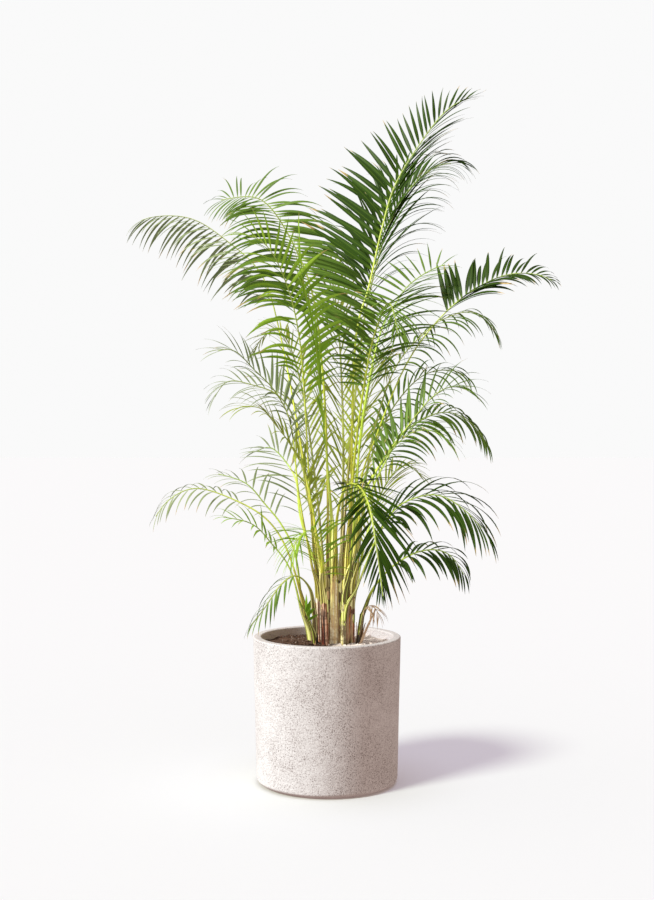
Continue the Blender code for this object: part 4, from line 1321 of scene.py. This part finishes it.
class Spine:
    """The petiole and rachis of one frond: a smooth curve with axes along it."""

    FOOT_GAP = 0.0008
    PETIOLE_HALF_WIDTH = 0.0045
    CANE_SWELL = 1.15
    STEPS = 12
    SWAYS = (0.010, 0.018, 0.026, 0.034, 0.042)
    HEADINGS = (90, 270, 45, 315, 135, 225, 0, 180)
    PETIOLE_TESTS = 4
    BETTER_BY = 1e-5
    LOOK = 0.02

    def __init__(self, spec: FrondSpec, cane: Cane, sway: Vector) -> None:
        """Lays the curve.

        Args:
            spec: the frond.
            cane: its cane.
            sway: how far the curve stands aside.
        """
        self.spec = spec
        clump = Vector((0.0, 0.0, cane.soil))
        self.leads = spec.foot_height >= cane.height
        foot = cane.axis(spec.foot_height)
        if self.leads:
            foot += UP * self.FOOT_GAP
        else:
            outward = (clump + Vector(spec.route[0]) - foot).to_2d().to_3d().normalized()
            foot += outward * (cane.spec.radius * self.CANE_SWELL + self.PETIOLE_HALF_WIDTH + self.FOOT_GAP)
        self.lay([foot, *(clump + Vector(point) + sway for point in spec.route)])
        self.across = UP.cross((self.points[-1] - foot).to_2d().to_3d().normalized())

    @classmethod
    def matching(cls, spec: FrondSpec, cane: Cane) -> "Spine":
        """The curve whose sway fits the frame's own node best.

        Args:
            spec: the frond.
            cane: its cane.

        Returns:
            The best of the curves.
        """
        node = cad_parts[spec.name]
        tree = KDTree(len(node.data.vertices))
        for index, vertex in enumerate(node.data.vertices):
            tree.insert(vertex.co, index)
        tree.balance()
        best, found = None, math.inf
        tests = [spec.bare * step / cls.PETIOLE_TESTS for step in range(1, cls.PETIOLE_TESTS + 1)]
        for spine in (cls(spec, cane, sway) for sway in cls.sways()):
            petiole = [spine.point(share) for share in tests]
            miss = sum(tree.find(point)[2] for point in [*petiole, spine.points[-1]])
            if miss < found - cls.BETTER_BY:
                best, found = spine, miss
        LOG.info("%s: spine within %.1f mm of its node", spec.name, found / (cls.PETIOLE_TESTS + 1) * 1000)
        return best

    @classmethod
    def sways(cls) -> Iterator[Vector]:
        """The ways that a spine may stand aside, the upright one first."""
        yield Vector()
        for reach in cls.SWAYS:
            yield from (heading(math.radians(angle)) * reach for angle in cls.HEADINGS)

    def lay(self, route: Sequence[Vector]) -> None:
        """Draws a smooth curve through the route and measures it.

        Args:
            route: the points it passes.
        """
        ends = [2 * route[0] - route[1], *route, 2 * route[-1] - route[-2]]
        self.points = []
        for before, start, end, after in zip(ends, ends[1:], ends[2:], ends[3:]):
            bow = 2 * before - 5 * start + 4 * end - after
            bend = 3 * start - before - 3 * end + after
            for t in (step / self.STEPS for step in range(self.STEPS)):
                self.points.append(0.5 * (2 * start + (end - before) * t + bow * t**2 + bend * t**3))
        self.points.append(route[-1])
        self.reached = [0.0]
        for first, second in zip(self.points, self.points[1:]):
            self.reached.append(self.reached[-1] + (second - first).length)
        self.length = self.reached[-1]

    def point(self, share: float) -> Vector:
        """The point at a share of the curve's length.

        Args:
            share: the share, kept between 0 and 1.

        Returns:
            The point.
        """
        distance = self.length * min(1.0, max(0.0, share))
        for index in range(1, len(self.points)):
            if self.reached[index] >= distance:
                low, high = self.reached[index - 1], self.reached[index]
                return self.points[index - 1].lerp(self.points[index], (distance - low) / (high - low))
        return self.points[-1].copy()

    def axes(self, share: float) -> tuple[Vector, Vector, Vector]:
        """The tangent, sideways and upward axes at a share of the length.

        Args:
            share: the share of the length.

        Returns:
            The three axes, turned by the frond's roll.
        """
        tangent = (self.point(share + self.LOOK) - self.point(share - self.LOOK)).normalized()
        upward = tangent.cross(self.across).normalized()
        sideways = upward.cross(tangent).normalized()
        turn = Quaternion(tangent, math.radians(self.spec.roll * min(1.0, share / self.spec.bare)))
        return tangent, turn @ sideways, turn @ upward


@dataclass
class Frond:
    """A feather leaf: a sheathed, channelled stalk and its two rows of folded leaflets."""

    spec: FrondSpec
    cane: Cane
    slot: str = "frond_leaf"
    foot: tuple[float, float] = (0.0045, 0.0035)
    tip: tuple[float, float] = (0.0011, 0.0008)
    thinning: float = 0.75
    sheath: float = 0.050
    sheath_top: float = 0.045
    sheath_steps: int = 10
    leaves_cane: float = -0.030
    lead_length: float = 0.10
    sheath_thickness: float = 0.0009
    lead_thickness: float = 0.0008
    channel: float = 0.35
    channel_width: float = 0.55
    sides: int = 12
    rows: int = 10
    stalk_rings: int = 56
    thickness: float = 0.0007
    fold: float = 0.30
    widest: float = 0.30

    def __post_init__(self) -> None:
        """Finds the spine that follows the frame's node."""
        self.spine = Spine.matching(self.spec, self.cane)
        self.draw = random.Random(self.spec.name)

    def half_size(self, share: float) -> tuple[float, float]:
        """Half the stalk's width and depth at a share of its length."""
        thinned = share**self.thinning
        return tuple(foot + (tip - foot) * thinned for foot, tip in zip(self.foot, self.tip))

    def build(self) -> bpy.types.Object:
        """Builds the frond."""
        shape = Shape(self.spec.name + "_fine")
        self.add_stalk(shape)
        self.add_leaflets(shape)
        self.add_extras(shape)
        return declare(shape.make(self.spec.tone.value, self.spec.stalk.value), self.slot, self.spec.name)

    def add_extras(self, shape: Shape) -> None:
        """Adds nothing more; some leaves have more."""

    def add_stalk(self, shape: Shape) -> None:
        """Adds the sheath, petiole and rachis as one tube.

        Args:
            shape: the shape to add it to.
        """
        rings = self.sheath_rings()
        first = 0.0 if self.spine.leads else self.sheath_top / self.spine.length
        steps = range(1, self.stalk_rings + 1)
        shares = [first + (self.spec.reach - first) * step / self.stalk_rings for step in steps]
        along = [0.0] * len(rings) + shares
        for share in shares:
            axes = self.spine.axes(share)
            rings.append(self.section(self.spine.point(share), axes, self.swollen(share), self.channel))
        shape.tube(rings, Patch(0.01, 0.01, 0.09, 0.99), slot=1, along=along, vary=self.draw.random())

    def swollen(self, share: float) -> tuple[float, float]:
        """The half sizes, which start at the cane's own girth on a frond that leads it.

        Args:
            share: the share of the stalk's length.

        Returns:
            Half the width and half the depth.
        """
        sizes = self.half_size(share)
        if not self.spine.leads:
            return sizes
        cane = self.cane.girth(self.cane.height) + self.lead_thickness
        grown = smooth_step(share * self.spine.length, 0.0, self.lead_length)
        return tuple(cane + (size - cane) * grown for size in sizes)

    def sheath_rings(self) -> list[Ring]:
        """The rings where the stalk's foot wraps the cane."""
        axes = self.spine.axes(0.0)
        rings = []
        top = 0.0 if self.spine.leads else self.sheath_top
        for step in range(self.sheath_steps + 1):
            lift = -self.sheath + (self.sheath + top) * step / self.sheath_steps
            height = self.spec.foot_height + lift
            share = max(0.0, lift) / self.spine.length
            away = 0.0 if self.spine.leads else smooth_step(lift, self.leaves_cane, self.sheath_top)
            centre = self.cane.axis(height).lerp(self.spine.point(share), away)
            growth = self.sheath_thickness * smooth_step(step, 0, 2)
            snug = self.cane.girth(min(height, self.cane.height)) + growth
            sizes = tuple(snug + (size - snug) * away for size in self.half_size(share))
            rings.append(self.section(centre, axes, sizes, self.channel * away))
        return rings

    def section(
        self, centre: Vector, axes: Sequence[Vector], sizes: tuple[float, float], channel: float
    ) -> Ring:
        """A stalk's section: round below, with a channel on its upper side.

        Args:
            centre: the section's middle.
            axes: the spine's tangent, sideways and upward axes there.
            sizes: half its width and half its depth.
            channel: how deep the channel goes, as a share of the half depth.

        Returns:
            The ring.
        """
        _, sideways, upward = axes
        width, depth = sizes
        ring = []
        for turn in (math.tau * (index - 0.25 * self.sides) / self.sides for index in range(self.sides)):
            dip = channel * math.exp(-(((turn - math.pi / 2) / self.channel_width) ** 2))
            across, up = width * math.cos(turn), depth * (math.sin(turn) - dip)
            ring.append(centre + sideways * across + upward * up)
        return ring

    def add_leaflets(self, shape: Shape) -> None:
        """Adds the leaflets in pairs up to the tip.

        Args:
            shape: the shape to add them to.
        """
        pairs = max(4, round((self.spec.reach - self.spec.bare) * self.spine.length / self.spec.pitch))
        slice_width = 0.89 / (2 * pairs)
        for pair in range(pairs):
            for side in (-1, 1):
                along = (pair + 0.35 + 0.15 * side + self.draw.uniform(-0.12, 0.12)) / pairs
                left = 0.10 + slice_width * (2 * pair + (side > 0))
                patch = Patch(left, 0.01, left + slice_width * 0.85, 0.99)
                self.add_leaflet(shape, min(0.995, max(0.0, along)), side, patch)

    def share_of_longest(self, along: float) -> float:
        """A leaflet's share of the longest one's length, from the blade's foot to its tip.

        Args:
            along: its place along the blade.

        Returns:
            The share.
        """
        peak = self.spec.peak
        if along < peak:
            return self.spec.first + (1.0 - self.spec.first) * math.sin(math.pi / 2 * along / peak)
        return 1.0 - self.spec.taper * ((along - peak) / (1.0 - peak)) ** self.spec.fall

    def breadth(self, t: float) -> float:
        """A leaflet's share of its full width along its length.

        Args:
            t: the share of its length.

        Returns:
            The share of its width.
        """
        if t < self.widest:
            return 0.34 + 0.66 * math.sin(math.pi / 2 * t / self.widest)
        return max(0.03, 1.0 - ((t - self.widest) / (1.0 - self.widest)) ** 1.9)

    def add_leaflet(self, shape: Shape, along: float, side: int, patch: Patch) -> None:
        """Adds one folded, drooping leaflet.

        Args:
            shape: the shape to add it to.
            along: its place along the blade.
            side: its side, -1 or 1.
            patch: its box on the bake map.
        """
        draw, spec, right = self.draw, self.spec, side > 0
        share = spec.bare + (spec.reach - spec.bare) * along
        tangent, sideways, upward = self.spine.axes(share)
        sweep = spec.sweep[right] * (1.0 - 0.84 * along**spec.sweep_power)
        sweep = math.radians(sweep + draw.gauss(0.0, 3.5) * spec.unruly)
        rise = math.radians(spec.rise + draw.gauss(0.0, 7.0) * spec.unruly)
        outward = sideways * (side * math.cos(rise)) + upward * math.sin(rise)
        direction = (tangent * math.cos(sweep) + outward * math.sin(sweep)).normalized()
        size = self.share_of_longest(along) * draw.uniform(0.90, 1.08)
        wanted = spec.leaflet * size * spec.row_share[right]
        left = (spec.reach - share) * self.spine.length
        length = min(wanted, left * 1.05 + spec.tip_reach * draw.uniform(0.8, 1.2))
        size = length / spec.leaflet
        slim = min(1.0, 0.30 + 0.78 * size) * (1.0 - 0.4 * along**3) * draw.uniform(0.88, 1.1)
        droop = spec.droop * draw.uniform(0.75, 1.3) * (0.6 + 0.6 * size) * (1.0 + spec.nod * along**2)
        twist = math.radians(draw.gauss(0.0, 16.0) * spec.unruly)
        place = self.spine.point(share) + sideways * (side * self.half_size(share)[0] * 0.6)
        rings, marks = [], [row / self.rows for row in range(self.rows + 1)]
        for t in marks:
            broad = (tangent - direction * tangent.dot(direction)).normalized()
            flat = direction.cross(UP)
            flat = -flat if flat.dot(broad) < 0.0 else flat
            broad = (broad * (1.0 - spec.level[right]) + flat * spec.level[right]).normalized()
            broad = Quaternion(direction, twist * t * side) @ broad
            normal = direction.cross(broad) * -side
            reach = spec.width / 2 * slim * self.breadth(t)
            crest = normal * (reach * self.fold * (1.0 - 0.5 * t))
            under = place + crest - normal * (self.thickness * (1.0 - 0.6 * t)) - crest * 0.06
            rings.append([place - broad * reach, place + crest, place + broad * reach, under][::side])
            sag = UP * (droop * 1.25 * (0.25 + t) / self.rows)
            direction = (direction - sag - normal * (spec.arch * 2.0 * t / self.rows)).normalized()
            place = place + direction * (length / self.rows)
        across = [-1.0, 0.0, 1.0, 0.0] if right else [0.0, 1.0, 0.0, -1.0]
        shape.tube(rings, patch, along=marks, across=across, vary=draw.random())


@dataclass
class DriedLeaf(Frond):
    """The small dead leaf that hangs at the right of the clump, with its papery sheath."""

    slot: str = "dried_leaf"
    foot: tuple[float, float] = (0.0016, 0.0013)
    tip: tuple[float, float] = (0.0006, 0.0005)
    thinning: float = 1.0
    sheath: float = 0.020
    fold: float = 0.9

    def add_extras(self, shape: Shape) -> None:
        """Adds the papery sheath that stands open round the stalk's foot.

        Args:
            shape: the shape to add it to.
        """

        def lie(share: float, aside: float) -> tuple[Vector, float, float]:
            """Where the sheath lies: leaning away, narrower, curled and rippled towards its top.

            Args:
                share: the share of its length.
                aside: the place across it, -1 to 1.

            Returns:
                The sheath's middle, the angle and the reach.
            """
            centre = self.cane.axis(-0.004 + 0.092 * share) + Vector((0.020, -0.008, 0.0)) * share
            angle = math.radians(-35.0) + math.radians(52.0 - 38.0 * share) * aside
            ripple = 0.0009 * math.sin((aside + 1.0) * 8.4 + share * 9.0) * share
            curl = 0.0010 + 0.005 * share**2.2
            return centre, angle, self.cane.spec.radius * 1.2 + curl + ripple

        shape.tube(dry_strip(14, 4, lie), Patch(0.10, 0.01, 0.11, 0.99), vary=0.9)


@dataclass
class YoungShoot(Frond):
    """The bright young shoot at the left of the clump."""

    slot: str = "young_leaf"
    foot: tuple[float, float] = (0.0030, 0.0026)
    tip: tuple[float, float] = (0.0010, 0.0008)
    thinning: float = 1.0
    sheath: float = 0.028
    fold: float = 0.45


@dataclass
class Clump:
    """The whole plant: its canes, its fronds, the dead leaf and the shoot."""

    soil: float

    def build(self) -> Pieces:
        """Builds every stem and leaf."""
        canes = {spec.name: Cane(spec, self.soil) for spec in CANE_SPECS}
        leaves = [*((Frond, spec) for spec in FROND_SPECS), (DriedLeaf, DRIED_SPEC), (YoungShoot, SHOOT_SPEC)]
        stems = [cane.build() for cane in canes.values()]
        return stems + [kind(spec, canes[spec.cane]).build() for kind, spec in leaves]


# Studio


class Target(Enum):
    """What a light reaches."""

    PLANT = "plant"
    PLANTER = "planter"
    FLOOR = "floor"


@dataclass(frozen=True)
class LightSpec:
    """A far light: what it reaches, where it comes from, how strong and soft it is, and its colour."""

    name: str
    target: Target
    azimuth: float
    elevation: float
    strength: float
    colour: Colour
    angle: float = 16.0
    leaves_shade: bool = False


LIGHTS = (
    LightSpec("plant_key", Target.PLANT, -62.0, 42.0, 6.2, (1.0, 0.98, 0.86), leaves_shade=True),
    LightSpec("plant_fill", Target.PLANT, 12.0, 12.0, 1.1, (1.0, 0.99, 0.90), 120.0),
    LightSpec("key_light", Target.PLANTER, -65.0, 40.0, 4.3, (0.86, 1.0, 1.03)),
    LightSpec("floor_key", Target.FLOOR, -50.0, 35.0, 2.42, (0.88, 1.0, 0.846)),
    LightSpec("floor_fill", Target.FLOOR, 0.0, 90.0, 1.01, (0.68, 0.681, 1.0), 60.0),
)


@dataclass
class Studio:
    """The camera, the pale floor, and the light from the left."""

    sky: Colour = (0.47, 0.40, 0.37)
    backdrop: Colour = (0.955, 0.955, 0.955)
    paper: Colour = (0.90, 0.90, 0.90)
    floor_size: float = 60.0
    floor_gap: float = 0.0005
    light_distance: float = 4.0
    eye: Point = (0.0, -3.141, 0.8546)
    tilt: float = -0.42
    lens: float = 50.0
    sensor: float = 36.0

    def build(self, planter: bpy.types.Object, plant: Pieces) -> None:
        """Sets the camera, the floor and the lights.

        Args:
            planter: the planter, lit with no shade of the leaves.
            plant: the soil and the plant's pieces.
        """
        bpy.context.scene.view_settings.view_transform = "Standard"
        self.add_camera()
        floor = self.add_floor()
        self.add_world()
        reached = {Target.PLANT: plant, Target.PLANTER: [planter], Target.FLOOR: [floor]}
        shades = {True: [planter, *plant], False: [planter]}
        lights = [self.add_light(spec, reached[spec.target], shades[spec.leaves_shade]) for spec in LIGHTS]

    def add_camera(self) -> None:
        """Puts the camera at eye height in front."""
        data = bpy.data.cameras.new("camera")
        data.lens, data.sensor_width = self.lens, self.sensor
        camera = link("camera", data)
        camera.location = self.eye
        camera.rotation_euler = (math.radians(90.0 + self.tilt), 0.0, 0.0)
        bpy.context.scene.camera = camera

    def add_floor(self) -> bpy.types.Object:
        """Lays the plain pale floor."""
        mesh = bpy.data.meshes.new("floor")
        corners = [Vector((x, y, 0.0)) * self.floor_size for x, y in ((-1, -1), (1, -1), (1, 1), (-1, 1))]
        mesh.from_pydata(corners, [], [(0, 1, 2, 3)])
        graph = MaterialGraph("floor_paper")
        for name, value in (("Base Color", self.paper), ("Roughness", 1.0), ("Specular IOR Level", 0.0)):
            graph.feed(graph.shader.inputs[name], value)
        mesh.materials.append(graph.material)
        floor = link("floor", mesh)
        floor.location.z = -self.floor_gap
        floor.visible_diffuse = floor.visible_glossy = floor.visible_transmission = False
        return floor

    def add_world(self) -> None:
        """Makes a white backdrop that lights the plant only gently."""
        world = bpy.data.worlds.new("studio")
        world.use_nodes = True
        graph = Graph(world.node_tree)
        seen = graph.make("ShaderNodeLightPath", {}, "Is Camera Ray")
        background = world.node_tree.nodes["Background"]
        graph.feed(background.inputs["Color"], graph.mix(seen, self.sky, self.backdrop))
        bpy.context.scene.world = world

    def add_light(self, spec: LightSpec, lit: Pieces, blockers: Pieces) -> bpy.types.Object:
        """Adds one light that reaches some objects and is blocked by some.

        Args:
            spec: the light.
            lit: the objects it reaches.
            blockers: the objects that cast its shadows.

        Returns:
            The light.
        """
        data = bpy.data.lights.new(f"{spec.name}_{spec.target.value}", "SUN")
        data.energy, data.color, data.angle = spec.strength, spec.colour, math.radians(spec.angle)
        azimuth, elevation = math.radians(spec.azimuth), math.radians(spec.elevation)
        towards = heading(azimuth - math.pi / 2, math.cos(elevation), math.sin(elevation))
        light = link(data.name, data)
        light.location = towards * self.light_distance
        light.rotation_euler = towards.to_track_quat("Z", "Y").to_euler()
        light.light_linking.receiver_collection = self.group(f"{data.name}_lit", lit)
        light.light_linking.blocker_collection = self.group(f"{data.name}_blocked_by", blockers)
        LOG.info("%s: reaches %d pieces", data.name, len(lit))
        return light

    @staticmethod
    def group(name: str, objects: Pieces) -> bpy.types.Collection:
        """Gathers objects in a collection that isn't in the scene itself.

        Args:
            name: the collection's name.
            objects: what it holds.

        Returns:
            The collection.
        """
        collection = bpy.data.collections.new(name)
        for obj in objects:
            collection.objects.link(obj)
        return collection


def main() -> None:
    """Builds the planter, the soil, the plant and the studio."""
    logging.basicConfig(level=logging.INFO, format="%(name)s %(message)s")
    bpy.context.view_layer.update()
    pot = Planter()
    bed = SoilBed(pot)
    planter, soil = pot.build(), bed.build()
    plant = Clump(bed.high).build()
    Studio().build(planter, [soil, *plant])


if __name__ == "__main__":
    main()
